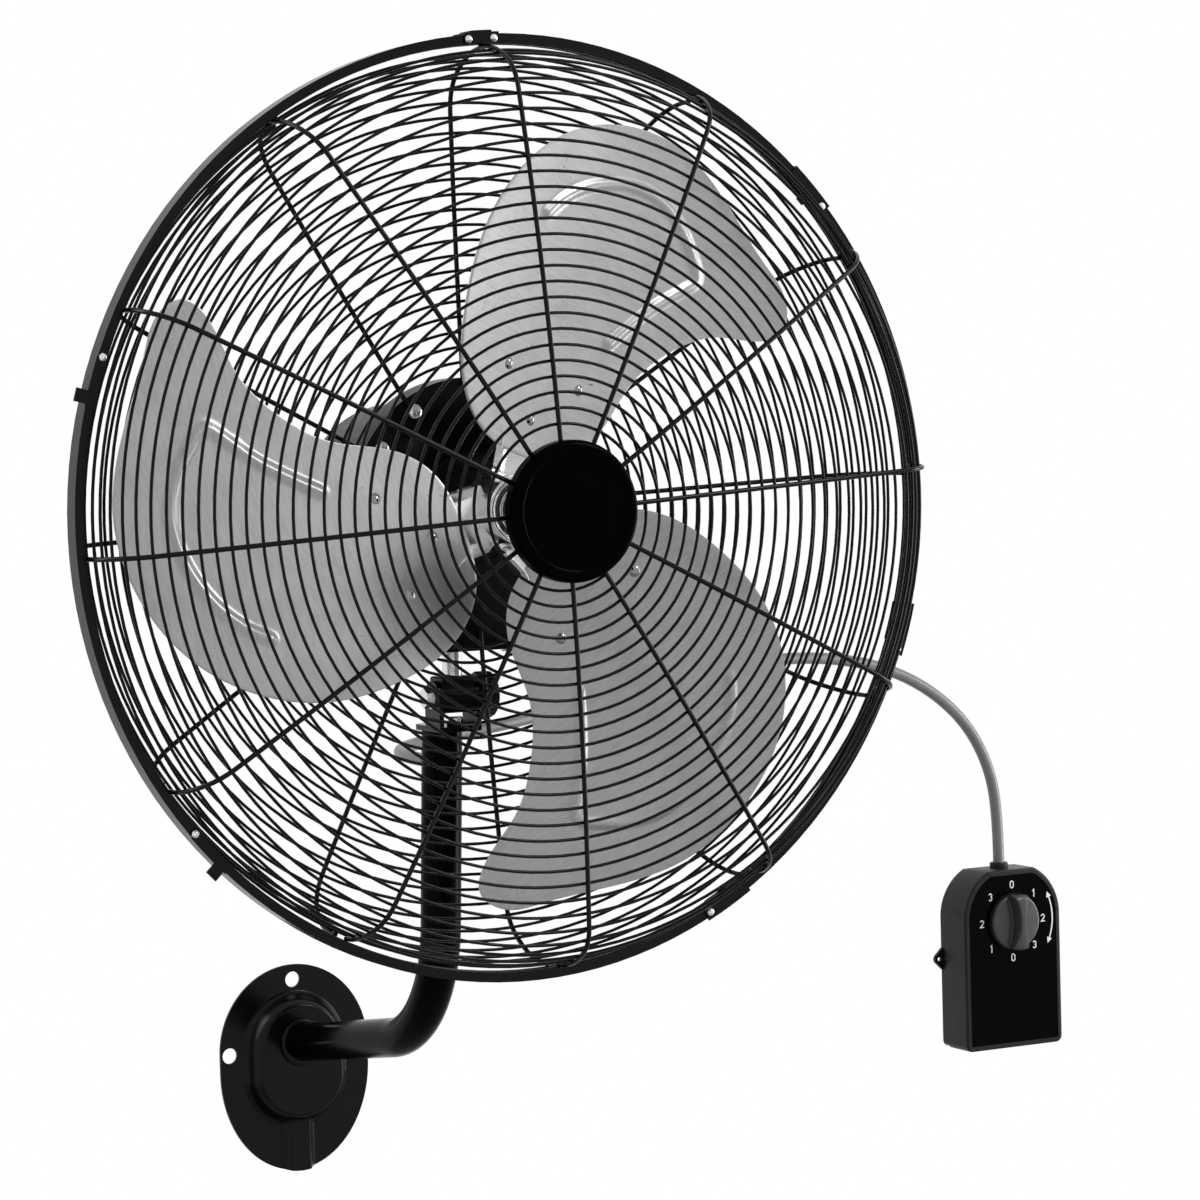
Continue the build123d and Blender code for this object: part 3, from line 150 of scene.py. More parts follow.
def makeCamera():
    bpy.ops.object.camera_add(location=cameraPlace["location"])
    camera = bpy.context.object
    camera.name = "photoCamera"
    yaw, pitch, roll = (radians(cameraPlace[k]) for k in ("yaw", "pitch", "roll"))
    forward = Vector((sin(yaw) * cos(pitch), cos(yaw) * cos(pitch), sin(pitch)))
    right = Vector((cos(yaw), -sin(yaw), 0))
    up = right.cross(forward)
    right, up = cos(roll) * right + sin(roll) * up, cos(roll) * up - sin(roll) * right
    turn = Matrix((right, up, -forward)).transposed().to_4x4()
    camera.matrix_world = Matrix.Translation(cameraPlace["location"]) @ turn
    camera.data.lens = cameraPlace["lens"]
    camera.data.sensor_width = cameraPlace["sensor"]
    camera.data.clip_end = cameraPlace["farthest"]
    bpy.context.scene.camera = camera


cable = {
    # up out of the gland, over in an arch and straight into the back of the pole, in mm
    "points": [(668, -20, 97), (668, -20, 138), (662, -18, 180), (641, -17, 219), (606, -17, 250),
               (562, -19, 272), (512, -24, 284), (458, -32, 289), (402, -42, 288), (346, -53, 283),
               (290, -66, 275), (236, -82, 268), (184, -101, 263), (134, -117, 258), (84, -130, 254),
               (42, -150, 251.5), (12, -186, 250.5), (0, -229.97, 250), (0, -269.47, 250)],
    "diameter": 10.0,
    "length": 894.7,
    "stepsPerPoint": 12, "roundness": 6,
}


def makeCable(finish):
    bpy.ops.curve.primitive_nurbs_path_add(location=(0, 0, 0))
    cord = bpy.context.object
    cord.name = "cableSheath"
    cord.data.splines.clear()
    line = cord.data.splines.new("NURBS")
    line.points.add(len(cable["points"]) - 1)
    for point, place in zip(line.points, cable["points"]):
        point.co = (place[0] * mm, place[1] * mm, place[2] * mm, 1)
    line.order_u = 3
    line.use_endpoint_u = True
    line.resolution_u = cable["stepsPerPoint"]
    cord.data.dimensions = "3D"
    cord.data.bevel_depth = cable["diameter"] / 2 * mm
    cord.data.bevel_resolution = cable["roundness"]
    cord.data.use_fill_caps = True
    cord.data.materials.append(finish)
    handIn(cord, "mount", "cable_grey", "control_cable")


def newFinish(name):
    finish = bpy.data.materials.new(name)
    finish.use_nodes = True
    return finish, finish.node_tree


def addNode(tree, kind, **values):
    node = tree.nodes.new(kind)
    for key, value in values.items():
        if key in node.inputs:
            node.inputs[key].default_value = value
        else:
            setattr(node, key, value)
    return node


def surfaceShader(tree):
    return tree.nodes["Principled BSDF"]


def noiseOn(tree, scale, detail=2.0, stretch=None, uvMap=None):
    # cells per metre on the piece's own coordinates, or per unit of its UV map
    if uvMap:
        place = addNode(tree, "ShaderNodeUVMap", uv_map=uvMap).outputs["UV"]
    else:
        place = tree.nodes.new("ShaderNodeTexCoord").outputs["Object"]
    if stretch:
        mapping = addNode(tree, "ShaderNodeMapping", Scale=stretch)
        tree.links.new(place, mapping.inputs["Vector"])
        place = mapping.outputs["Vector"]
    noise = addNode(tree, "ShaderNodeTexNoise", Scale=scale, Detail=detail)
    tree.links.new(place, noise.inputs["Vector"])
    return noise.outputs["Fac"]


noiseRange = (0.3, 0.7)  # nearly all of a noise's values lie between these


def spread(tree, value, low, high):
    node = tree.nodes.new("ShaderNodeMapRange")
    start, end = noiseRange
    for key, number in (("From Min", start), ("From Max", end), ("To Min", low), ("To Max", high)):
        node.inputs[key].default_value = number
    tree.links.new(value, node.inputs["Value"])
    return node.outputs["Result"]


def blendColours(tree, value, first, second):
    ramp = tree.nodes.new("ShaderNodeValToRGB")
    for stop, position, colour in zip(ramp.color_ramp.elements, noiseRange, (first, second)):
        stop.position = position
        stop.color = (*colour, 1)
    tree.links.new(value, ramp.inputs["Fac"])
    return ramp.outputs["Color"]


def addBump(tree, height, distance):
    bump = addNode(tree, "ShaderNodeBump", Strength=1.0, Distance=distance)
    tree.links.new(height, bump.inputs["Height"])
    tree.links.new(bump.outputs["Normal"], surfaceShader(tree).inputs["Normal"])


def paintedFinish(name, dark, light, rough, grain, grainDepth, sheen, patch=18.0, glossPatches=4):
    # paint or plastic: slow colour drift, slightly uneven gloss in smaller patches and a fine skin
    finish, tree = newFinish(name)
    shader = surfaceShader(tree)
    shader.inputs["Specular IOR Level"].default_value = sheen
    drift = noiseOn(tree, patch, detail=3.0)
    tree.links.new(blendColours(tree, drift, dark, light), shader.inputs["Base Color"])
    unevenness = noiseOn(tree, patch * glossPatches)
    tree.links.new(spread(tree, unevenness, *rough), shader.inputs["Roughness"])
    addBump(tree, noiseOn(tree, grain, detail=3.0), grainDepth * mm)
    return finish


def metalFinish(name, dark, light, rough, grain, grainDepth, stretch=None, uvMap=None, speckle=900.0,
                metallic=1.0, glossWidth=6):
    # bare metal: mottled tone in streaks where it was rolled, uneven gloss in broader patches
    finish, tree = newFinish(name)
    shader = surfaceShader(tree)
    shader.inputs["Metallic"].default_value = metallic
    tone = noiseOn(tree, speckle, stretch=stretch, uvMap=uvMap)
    tree.links.new(blendColours(tree, tone, dark, light), shader.inputs["Base Color"])
    unevenness = noiseOn(tree, speckle / glossWidth, detail=3.0, uvMap=uvMap)
    tree.links.new(spread(tree, unevenness, *rough), shader.inputs["Roughness"])
    addBump(tree, noiseOn(tree, grain, detail=0.5), grainDepth * mm)
    return finish


def turnedFinish(name, dark, light, rough, lines, lineDepth, place, metallic=1.0, sheen=0.5, patch=60):
    # metal or gloss plastic finished in a lathe: fine rings about an axis along Y
    finish, tree = newFinish(name)
    shader = surfaceShader(tree)
    shader.inputs["Metallic"].default_value = metallic
    shader.inputs["Specular IOR Level"].default_value = sheen
    spot = addNode(tree, "ShaderNodeMapping", Location=(-place[0], 0, -place[2]), Scale=(1, 0, 1))
    tree.links.new(tree.nodes.new("ShaderNodeTexCoord").outputs["Object"], spot.inputs["Vector"])
    radius = addNode(tree, "ShaderNodeVectorMath", operation="LENGTH")
    tree.links.new(spot.outputs["Vector"], radius.inputs[0])
    rings = addNode(tree, "ShaderNodeTexNoise", noise_dimensions="1D", Scale=lines, Detail=3.0)
    tree.links.new(radius.outputs["Value"], rings.inputs["W"])
    tree.links.new(blendColours(tree, rings.outputs["Fac"], dark, light), shader.inputs["Base Color"])
    tree.links.new(spread(tree, noiseOn(tree, patch), *rough), shader.inputs["Roughness"])
    addBump(tree, rings.outputs["Fac"], lineDepth * mm)
    return finish


def grey(value):
    return (value, value, value * 1.02)  # very slightly cool


finishes = {
    "black_paint": paintedFinish("glossEnamel", grey(0.0018), grey(0.0028), rough=(0.17, 0.22), grain=620,
                                 grainDepth=0.002, sheen=0.13),
    "black_casting": paintedFinish("castingEnamel", grey(0.003), grey(0.005), rough=(0.3, 0.4), grain=480,
                                   grainDepth=0.03, sheen=0.12),
    "blade_metal": metalFinish("rolledAluminium", grey(0.42), grey(0.5), rough=(0.26, 0.34), grain=160,
                               grainDepth=0.001, stretch=(2.2, 0.35, 1), uvMap="sheetPlan", speckle=20,
                               metallic=0.45),
    "bright_steel": metalFinish("zincSteel", grey(0.6), grey(0.72), rough=(0.18, 0.26), grain=900,
                                grainDepth=0.003),
    "black_gloss": turnedFinish("capGloss", grey(0.0004), grey(0.0007), rough=(0.2, 0.26), lines=900,
                                lineDepth=0.001, place=hubPlace, metallic=0, sheen=0.012),
    "black_satin": paintedFinish("satinPlastic", grey(0.008), grey(0.011), rough=(0.34, 0.42), grain=1100,
                                 grainDepth=0.012, sheen=0.16),
    "rubber_black": paintedFinish("softRubber", grey(0.008), grey(0.012), rough=(0.55, 0.7), grain=700,
                                  grainDepth=0.03, sheen=0.2),
    "cable_grey": paintedFinish("greySheath", grey(0.15), grey(0.18), rough=(0.3, 0.4), grain=500,
                                grainDepth=0.02, sheen=0.5, patch=30),
    "print_white": paintedFinish("whitePrint", grey(0.72), grey(0.78), rough=(0.5, 0.6), grain=1500,
                                 grainDepth=0.004, sheen=0.4, patch=60),
    "copper": metalFinish("enamelledCopper", (0.6, 0.26, 0.1), (0.72, 0.34, 0.14), rough=(0.25, 0.38),
                          grain=500, grainDepth=0.3, stretch=(1, 1, 6)),
    "lamination": metalFinish("stampedSheets", grey(0.24), grey(0.34), rough=(0.4, 0.55), grain=300,
                              grainDepth=0.1, stretch=(1, 14, 1)),
    "bronze": metalFinish("sinteredBronze", (0.5, 0.32, 0.13), (0.6, 0.4, 0.18), rough=(0.4, 0.5),
                          grain=1500, grainDepth=0.03),
    "capacitor_case": paintedFinish("palePlastic", grey(0.66), grey(0.72), rough=(0.4, 0.5), grain=800,
                                    grainDepth=0.02, sheen=0.45),
}
# painted reflection: the panel's broad drift from black to a bluish black
panelGloss = paintedFinish("panelGloss", grey(0.0006), (0.001, 0.0013, 0.0018), rough=(0.04, 0.06),
                           grain=300, grainDepth=0.0005, sheen=0.03, patch=6)
# painted light: a lighter, glossier copy of the black satin plastic for the knob, its raised base colour
# standing in for lamp highlights
knobSatinPaintedLight = paintedFinish("knobSatinPaintedLight", grey(0.02), grey(0.026), rough=(0.3, 0.36), grain=1300,
                          grainDepth=0.008, sheen=0.5, patch=40)
spunMetal = turnedFinish("spunAluminium", grey(0.6), grey(0.76), rough=(0.16, 0.24), lines=1500,
                         lineDepth=0.002, place=hubPlace)
# painted shade: a darker, less glossy copy of the gloss enamel for the arm tube, which dims the tube's
# highlights
tubeEnamelPaintedShade = paintedFinish("tubeEnamelPaintedShade", grey(0.0008), grey(0.0012), rough=(0.15, 0.19), grain=620,
                           grainDepth=0.002, sheen=0.03)
rivetSteel = metalFinish("rivetSteel", grey(0.26), grey(0.34), rough=(0.14, 0.2), grain=900,
                         grainDepth=0.002)
ownFinishes = {"box_panel": panelGloss, "blade_rivets": rivetSteel, "arm_tube": tubeEnamelPaintedShade}
print("finishes made for", len(finishes), "slots")

slotOf = {row["node"]: row["material_slot"] for row in frame["record"]["subparts"]}


def finishOf(name):
    return ownFinishes.get(name, finishes[slotOf[name]])


def dressNodes():
    for name, node in frame["nodes"].items():
        for place in node.material_slots:
            place.material = finishOf(name)


wireNodes = ("front_guard_ribs", "front_guard_spiral", "rear_guard_ribs", "rear_guard_spiral")
roundedNodes = ("clamp_band", "band_joint", "guard_clips", "band_rivets", "guard_latch_1", "guard_latch_2",
                *wireNodes, "front_guard_plate", "motor_front_bell", "motor_rear_bell", "gear_housing",
                "gear_cover", "cover_screws", "neck_block", "neck_stem", "tilt_yoke", "yoke_screw",
                "tilt_bolt", "tilt_washers", "tilt_knob", "arm_tube", "arm_collar", "arm_grommet",
                "box_base", "box_cover", "cable_gland", "blade_rivets", "motor_shaft")


def smoothCopy(name):
    # a copy of a curved CAD piece, its triangles merged and its rounds shaded smooth
    source = frame["nodes"][name]
    piece = bpy.data.objects.new(name + "_smooth", source.data.copy())
    bpy.context.scene.collection.objects.link(piece)
    takeActive(piece)
    if piece.data.has_custom_normals:
        bpy.ops.mesh.customdata_custom_splitnormals_clear()
    bpy.ops.object.mode_set(mode="EDIT")
    bpy.ops.mesh.select_all(action="SELECT")
    bpy.ops.mesh.remove_doubles(threshold=2 * weldGap)
    bpy.ops.object.mode_set(mode="OBJECT")
    smoothByAngle(piece, "wire" if name in wireNodes else "casting")
    giveFinish(piece, finishOf(name))
    handIn(piece, source["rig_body"], slotOf[name], name)


def cutCorner(before, spot, after, size, steps):
    # a sharp corner as a short curve that starts and ends this far from it
    first = spot + (before - spot).normalized() * size
    last = spot + (after - spot).normalized() * size
    shares = [k / steps for k in range(steps + 1)]
    return [(1 - t) ** 2 * first + 2 * t * (1 - t) * spot + t ** 2 * last for t in shares]


def softProfile(corners, steps=5):
    # (radius, depth, rounding) corners as a line of spots
    line = []
    for k, (radius, depth, rounding) in enumerate(corners):
        spot = Vector((radius, depth))
        if rounding:
            before, after = Vector(corners[k - 1][:2]), Vector(corners[k + 1][:2])
            line += cutCorner(before, spot, after, rounding, steps)
        else:
            line.append(spot)
    return line


def roundedOutline(corners, cut, steps=6):
    # a closed outline with each of its corners cut alike
    spots = [Vector(corner) for corner in corners]
    line = []
    for before, spot, after in zip(spots[-1:] + spots[:-1], spots, spots[1:] + spots[:1]):
        line += cutCorner(before, spot, after, cut, steps)
    return line


def spinProfile(name, line, around, place):
    # a line of (radius, depth) spots spun about an axis along Y through place
    deselectAll()
    bpy.ops.mesh.primitive_plane_add(size=mm)
    piece = bpy.context.object
    bpy.ops.object.mode_set(mode="EDIT")
    bpy.ops.mesh.select_all(action="SELECT")
    bpy.ops.mesh.merge(type="CENTER")
    bpy.ops.transform.translate(value=(line[0][0] * mm, line[0][1] * mm, 0))
    for before, after in zip(line, line[1:]):
        step = ((after[0] - before[0]) * mm, (after[1] - before[1]) * mm, 0)
        bpy.ops.mesh.extrude_vertices_move(TRANSFORM_OT_translate={"value": step})
    bpy.ops.mesh.select_all(action="SELECT")
    bpy.ops.mesh.spin(steps=around, angle=2 * pi, center=(0, 0, 0), axis=(0, 1, 0))
    bpy.ops.mesh.select_all(action="SELECT")
    bpy.ops.mesh.remove_doubles(threshold=weldGap)
    bpy.ops.mesh.normals_make_consistent(inside=False)
    bpy.ops.transform.translate(value=place)
    bpy.ops.object.mode_set(mode="OBJECT")
    piece.name = name
    piece.data.name = name
    smoothByAngle(piece, "turned")
    return piece


hubCap = {
    "backRound": 1.2, "frontRound": 5.2, "lip": 2.4,
    "groove": 1.2, "grooveDepth": 0.6, "grooveRound": 0.6,
    "faceRim": 0.5, "faceHalfway": 0.25, "faceMiddle": 0.2, "faceRound": 3.0,  # set back from the lip
    "around": 160, "steps": 8,
}


def makeHubCap():
    cap = hubCap
    low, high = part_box("hub_cap")
    radius = (high.x - low.x) / 2 / mm
    front, back = (low.y - hubPlace.y) / mm, (high.y - hubPlace.y) / mm
    lip = radius - cap["frontRound"] - cap["lip"]
    floor = front + cap["grooveDepth"]
    soft = cap["grooveRound"]
    line = softProfile([
        (0, back, 0), (radius, back, cap["backRound"]), (radius, front, cap["frontRound"]),
        (lip, front, soft), (lip - cap["groove"], floor, soft), (lip - 2 * cap["groove"], floor, soft),
        (lip - 3 * cap["groove"], front + cap["faceRim"], soft),
        (lip / 2, front + cap["faceHalfway"], cap["faceRound"]), (0, front + cap["faceMiddle"], 0),
    ], cap["steps"])
    piece = spinProfile("hubCapTurned", line, cap["around"], hubPlace)
    giveFinish(piece, finishes["black_gloss"])
    handIn(piece, "head", "black_gloss", "hub_cap")


panScrew = {
    "circle": 82.0, "count": 4,
    "angles": {"rear_guard_screws": 31.0, "motor_bolts": 57.0},
    "headRadius": 5.5, "headHeight": 3.2, "flatRadius": 3.3, "skirt": 1.8, "shankRadius": 2.5,
    "tipRound": 0.4, "rimRound": 0.3, "skirtRound": 1.2, "crownRound": 1.6,
    "crossLength": 5.4, "crossWidth": 1.1, "crossDepth": 1.7, "turnStep": 37.0,
    "around": 40,
}


def makePanScrew(name, front, back):
    # a domed screw with a cross in its head, lying along Y at the origin
    screw = panScrew
    seat = front + screw["headHeight"]
    line = softProfile([
        (0, back, 0), (screw["shankRadius"], back, screw["tipRound"]), (screw["shankRadius"], seat, 0),
        (screw["headRadius"], seat, screw["rimRound"]),
        (screw["headRadius"], seat - screw["skirt"], screw["skirtRound"]),
        (screw["flatRadius"], front, screw["crownRound"]), (0, front, 0),
    ])
    piece = spinProfile(name, line, screw["around"], (0, 0, 0))
    for lean in (0, pi / 2):
        deselectAll()
        bpy.ops.mesh.primitive_cube_add(size=mm, location=(0, front * mm, 0), rotation=(0, lean, 0))
        cutter = bpy.context.object
        cutter.scale = (screw["crossLength"], 2 * screw["crossDepth"], screw["crossWidth"])
        freeze(cutter)
        applyModifier(piece, "BOOLEAN", operation="DIFFERENCE", object=cutter, solver="EXACT")
        bpy.data.objects.remove(cutter)
    return piece


def makePanScrews():
    screw = panScrew
    for node, firstAngle in screw["angles"].items():
        low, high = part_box(node)
        first = makePanScrew(node + "_crossHead", (low.y - hubPlace.y) / mm, (high.y - hubPlace.y) / mm)
        heads = [first] + [copyPiece(first) for _ in range(screw["count"] - 1)]
        for index, head in enumerate(heads):
            angle = radians(firstAngle + 360 / screw["count"] * index)
            head.rotation_euler = (0, radians(screw["turnStep"]) * (index + 1), 0)
            head.location = hubPlace + Vector((cos(angle), 0, sin(angle))) * screw["circle"] * mm
            freeze(head)
        piece = joinPieces(heads, node + "_crossHead")
        smoothByAngle(piece, "turned")
        giveFinish(piece, finishes["bright_steel"])
        handIn(piece, "head", "bright_steel", node)


planUnit = 100  # mm of flat sheet to one unit of its UV map


def addGrid(name, around, rings):
    # a flat grid to roll up into a disc: columns go round, rows go out from the middle
    deselectAll()
    bpy.ops.mesh.primitive_grid_add(x_subdivisions=around, y_subdivisions=rings, size=2)
    sheet = bpy.context.object
    sheet.name = name
    sheet.data.name = name
    places = readPlaces(sheet)
    return sheet, (places[:, 0] + 1) / 2, (places[:, 1] + 1) / 2


def readPlaces(sheet):
    places = np.zeros(len(sheet.data.vertices) * 3)
    sheet.data.vertices.foreach_get("co", places)
    return places.reshape(-1, 3)


def setPlaces(sheet, x, y, z, middle=(0, 0, 0)):
    # x, y and z in mm from the middle
    places = np.stack([x, y, z], axis=1) * mm + np.array(middle)
    sheet.data.vertices.foreach_set("co", places.astype(np.float32).ravel())
    sheet.data.update()


def closeDisc(sheet, planX, planY):
    # lays the flat sheet's plan into the UV map, then merges the seam and the middle
    layer = sheet.data.uv_layers.active
    layer.name = "sheetPlan"
    corners = np.zeros(len(sheet.data.loops), dtype=np.int32)
    sheet.data.loops.foreach_get("vertex_index", corners)
    plan = np.stack([planX[corners], planY[corners]], axis=1) / planUnit
    layer.data.foreach_set("uv", plan.astype(np.float32).ravel())
    takeActive(sheet)
    bpy.ops.object.mode_set(mode="EDIT")
    bpy.ops.mesh.select_all(action="SELECT")
    bpy.ops.mesh.remove_doubles(threshold=weldGap)
    bpy.ops.object.mode_set(mode="OBJECT")


def turnFaces(sheet):
    takeActive(sheet)
    bpy.ops.object.mode_set(mode="EDIT")
    bpy.ops.mesh.select_all(action="SELECT")
    bpy.ops.mesh.flip_normals()
    bpy.ops.object.mode_set(mode="OBJECT")


def faceRoom(sheet):
    # the sheet's faces point out into the room, along -Y
    if sheet.data.polygons[len(sheet.data.polygons) // 2].normal.y > 0:
        turnFaces(sheet)


def closedSpline(points, count):
    # smooth closed curve through the points, a periodic cubic on chord lengths
    spots = np.array(points, dtype=float)
    steps = np.linalg.norm(np.roll(spots, -1, axis=0) - spots, axis=1)
    size = len(spots)
    system = np.zeros((size, size))
    known = np.zeros((size, 2))
    for i in range(size):
        before, after = steps[i - 1], steps[i]
        system[i, i - 1] += before
        system[i, i] += 2 * (before + after)
        system[i, (i + 1) % size] += after
        known[i] = 6 * ((spots[(i + 1) % size] - spots[i]) / after - (spots[i] - spots[i - 1]) / before)
    bend = np.linalg.solve(system, known)
    ends = np.cumsum(steps)
    curve = []
    for distance in np.linspace(0, ends[-1], count, endpoint=False):
        i = min(int(np.searchsorted(ends, distance, side="right")), size - 1)
        j = (i + 1) % size
        step = steps[i]
        a = (ends[i] - distance) / step
        b = 1 - a
        curve.append(a * spots[i] + b * spots[j]
                     + ((a ** 3 - a) * bend[i] + (b ** 3 - b) * bend[j]) * step ** 2 / 6)
    return np.array(curve)


def openSpline(points, perStep):
    # smooth open curve through the points
    spots = [np.array(p, dtype=float) for p in points]
    spots = [2 * spots[0] - spots[1]] + spots + [2 * spots[-1] - spots[-2]]
    curve = []
    for a, b, c, d in zip(spots, spots[1:], spots[2:], spots[3:]):
        for k in range(perStep):
            t = k / perStep
            curve.append(0.5 * (2 * b + (c - a) * t + (2 * a - 5 * b + 4 * c - d) * t ** 2
                                + (3 * b - a - 3 * c + d) * t ** 3))
    curve.append(spots[-2])
    return curve


def distanceTo(u, v, path):
    # least distance from each point to a line of short straight stretches
    best = np.full(len(u), np.inf)
    for (u0, v0), (u1, v1) in zip(path[:-1], path[1:]):
        du, dv = u1 - u0, v1 - v0
        share = np.clip(((u - u0) * du + (v - v0) * dv) / (du * du + dv * dv), 0, 1)
        best = np.minimum(best, np.hypot(u - u0 - share * du, v - v0 - share * dv))
    return best


blade = {
    # out along the blade's arm and across it, in mm from the hub's middle
    "outline": [(38, -8), (42, -46), (67, -77), (117, -97), (172, -101), (217, -88.5), (260.5, -56),
                (287, -4), (289, 49), (270, 98), (241, 151), (226, 174), (204, 180.5), (189.5, 162.5),
                (178.5, 126), (156.5, 95), (120, 68.5), (74, 54), (50, 35)],
    "outlineSteps": 1200,
    "middle": (190, 20),
    "angles": (67.8, 187.8, 307.8),
    "lift": 10.8, "reference": 100.0, "pitch": 0.288, "camber": 0.00049, "cone": 0.0126, "twist": 0.00025,
    "thickness": 1.6, "edgeRound": 0.3, "edgeAngle": 60,
    "bead": [(201.3, -52.4), (215.5, -43.5), (230.8, -27.5), (242, -8), (248.5, 13), (249.7, 34),
             (245.5, 51.5), (235, 70), (221, 86), (214, 91.5), (207, 92), (193.7, 79.5), (178, 64.5),
             (158, 50), (137.6, 36.8)],
    "beadSteps": 6, "beadHalf": 6.2, "beadRise": 2.5,
    "around": 300, "rings": 76,
}


def bladeDepth(u, s):
    return (blade["lift"] + blade["pitch"] * s - blade["camber"] * s ** 2
            - (blade["cone"] + blade["twist"] * s) * (u - blade["reference"]))


def layOnHub(sheet, u, s, depth, index):
    # turns a blade's or an arm's own plan to its angle round the hub
    turn = radians(blade["angles"][index])
    setPlaces(sheet, u * cos(turn) + s * sin(turn), depth, u * sin(turn) - s * cos(turn), hubPlace)


def makeBlade(index):
    sheet, share, out = addGrid("blade_%d_pressed" % (index + 1), blade["around"], blade["rings"])
    rim = closedSpline(blade["outline"], blade["outlineSteps"])
    middle = np.array(blade["middle"])
    bearing = np.arctan2(rim[:, 1] - middle[1], rim[:, 0] - middle[0])
    distance = np.hypot(rim[:, 0] - middle[0], rim[:, 1] - middle[1])
    order = np.argsort(bearing)
    angle = -pi + share * 2 * pi
    reach = np.interp(angle, bearing[order], distance[order], period=2 * pi)
    u = middle[0] + out * reach * np.cos(angle)
    s = middle[1] + out * reach * np.sin(angle)
    gap = distanceTo(u, s, openSpline(blade["bead"], blade["beadSteps"]))
    rise = np.where(gap < blade["beadHalf"], (1 + np.cos(pi * gap / blade["beadHalf"])) / 2, 0)
    layOnHub(sheet, u, s, bladeDepth(u, s) - blade["beadRise"] * rise, index)
    closeDisc(sheet, u, s)
    applyModifier(sheet, "SOLIDIFY", thickness=blade["thickness"] * mm, offset=-1)
    roundEdges(sheet, blade["edgeRound"], blade["edgeAngle"])
    smoothByAngle(sheet, "sheet")
    giveFinish(sheet, finishes["blade_metal"])
    handIn(sheet, "rotor", "blade_metal", "blade_%d" % (index + 1))


spider = {
    "outline": [(12, -21), (46, -27), (82, -57), (108, -50), (113, 28), (101, 38), (46, 17), (12, 21)],
    "cornerCut": 9.0, "thickness": 4.0,
    "rib": 2.4, "ribHalf": 7.0, "ribStart": 21.0, "ribReach": 62.0, "ribFade": 16.0,
    "bossRadius": 25.0, "bossFront": -8.0, "bossBack": 40.0, "boreRadius": 6.0, "boreDepth": 0.2,
    "backRound": 1.0, "frontRound": 2.2,
    # radius, depth and rounding of each step turned into the boss's face
    "steps": [(22.4, 0.0, 0.8), (21.2, 2.2, 0.8), (16.6, 2.2, 0.8), (15.8, 0.6, 0.6), (12.6, 0.6, 0.6),
              (11.6, 3.0, 0.6), (8.4, 3.0, 0.5), (8.0, 0.2, 0.4)],
    "around": 120, "softSteps": 6, "fine": 1.5, "weld": 0.01,
}


def fillOutline(name, rim):
    # a flat sheet inside the outline, in mm, cut into a fine grid so that it can be pressed
    low = (min(spot.x for spot in rim), min(spot.y for spot in rim))
    high = (max(spot.x for spot in rim), max(spot.y for spot in rim))
    deselectAll()
    bpy.ops.mesh.primitive_circle_add(vertices=len(rim), fill_type="NGON", radius=1)
    sheet = bpy.context.object
    sheet.name = sheet.data.name = name
    for vertex, spot in zip(sheet.data.vertices, rim):
        vertex.co = (spot.x, spot.y, 0)
    bpy.ops.object.mode_set(mode="EDIT")
    for axis, across in enumerate(((1, 0, 0), (0, 1, 0))):
        at = low[axis] + spider["fine"]
        while at < high[axis]:
            bpy.ops.mesh.select_all(action="SELECT")
            bpy.ops.mesh.bisect(plane_co=[at * n for n in across], plane_no=across)
            at += spider["fine"]
    bpy.ops.mesh.select_all(action="SELECT")
    bpy.ops.mesh.remove_doubles(threshold=spider["weld"])
    bpy.ops.object.mode_set(mode="OBJECT")
    return sheet


def makeSpiderBoss():
    hub = spider
    face = hub["bossFront"]
    line = softProfile([
        (hub["boreRadius"], hub["bossBack"], 0), (hub["bossRadius"], hub["bossBack"], hub["backRound"]),
        (hub["bossRadius"], face, hub["frontRound"]),
        *((radius, face + deep, soft) for radius, deep, soft in hub["steps"]),
        (hub["boreRadius"], face + hub["boreDepth"], 0), (hub["boreRadius"], hub["bossBack"], 0),
    ], hub["softSteps"])
    return spinProfile("bladeSpider", line, hub["around"], hubPlace)


def makeSpiderArm(index):
    # a thick pressed arm behind its blade, with a raised rib along its rim near the boss
    hub = spider
    rim = roundedOutline(hub["outline"], hub["cornerCut"])
    sheet = fillOutline("spiderArm", rim)
    places = readPlaces(sheet)
    u, s = places[:, 0], places[:, 1]
    gap = distanceTo(u, s, rim + rim[:1])
    fold = hub["rib"] * np.clip(1 - gap / hub["ribHalf"], 0, 1) ** 2
    fold = fold * np.clip((hub["ribReach"] - u) / hub["ribFade"], 0, 1) * (u > hub["ribStart"])
    layOnHub(sheet, u, s, bladeDepth(u, s) + blade["thickness"] - fold, index)
    turnFaces(sheet)
    applyModifier(sheet, "SOLIDIFY", thickness=hub["thickness"] * mm, offset=-1)
    smoothByAngle(sheet, "sheet")
    return sheet


def makeSpider():
    # the bright hub under the blades: a turned boss with three pressed arms
    arms = [makeSpiderArm(index) for index in range(len(blade["angles"]))]
    piece = joinPieces([makeSpiderBoss()] + arms, "bladeSpider")
    giveFinish(piece, spunMetal)
    handIn(piece, "rotor", "blade_metal", "blade_hub")


wallPlate = {
    "half": 64.0, "rise": 68.0, "waist": 15.0, "drop": 82.0,
    "thickness": 2.5, "edgeRound": 0.3, "edgeAngle": 65,
    "crownHalf": 43.0, "crownTop": 46.0, "crownWaist": 20.0, "crownDrop": 40.0, "crownRise": 18.0,
    "channelHalf": 13.0, "channelRise": 10.0, "channelTaper": 24.0, "channelTop": -46.0,
    "taper": 20.0,
    "soft": 8.0, "crownSoft": 13.0, "footSoft": 3.0,
    "holeRadius": 6.25, "holeSides": 64, "holeDepth": 30.0, "holes": [(-56, 0), (56, 0), (0, 56)],
    "boreRadius": 12.5, "boreSides": 96, "boreDepth": 60.0, "tubeRoot": 4.6, "tubeRise": 8.93,
    "around": 400, "rings": 92, "middle": -8.0,
    "farOut": 200.0, "farBelow": -50.0, "halvings": 30, "leastSlope": 0.4,
}


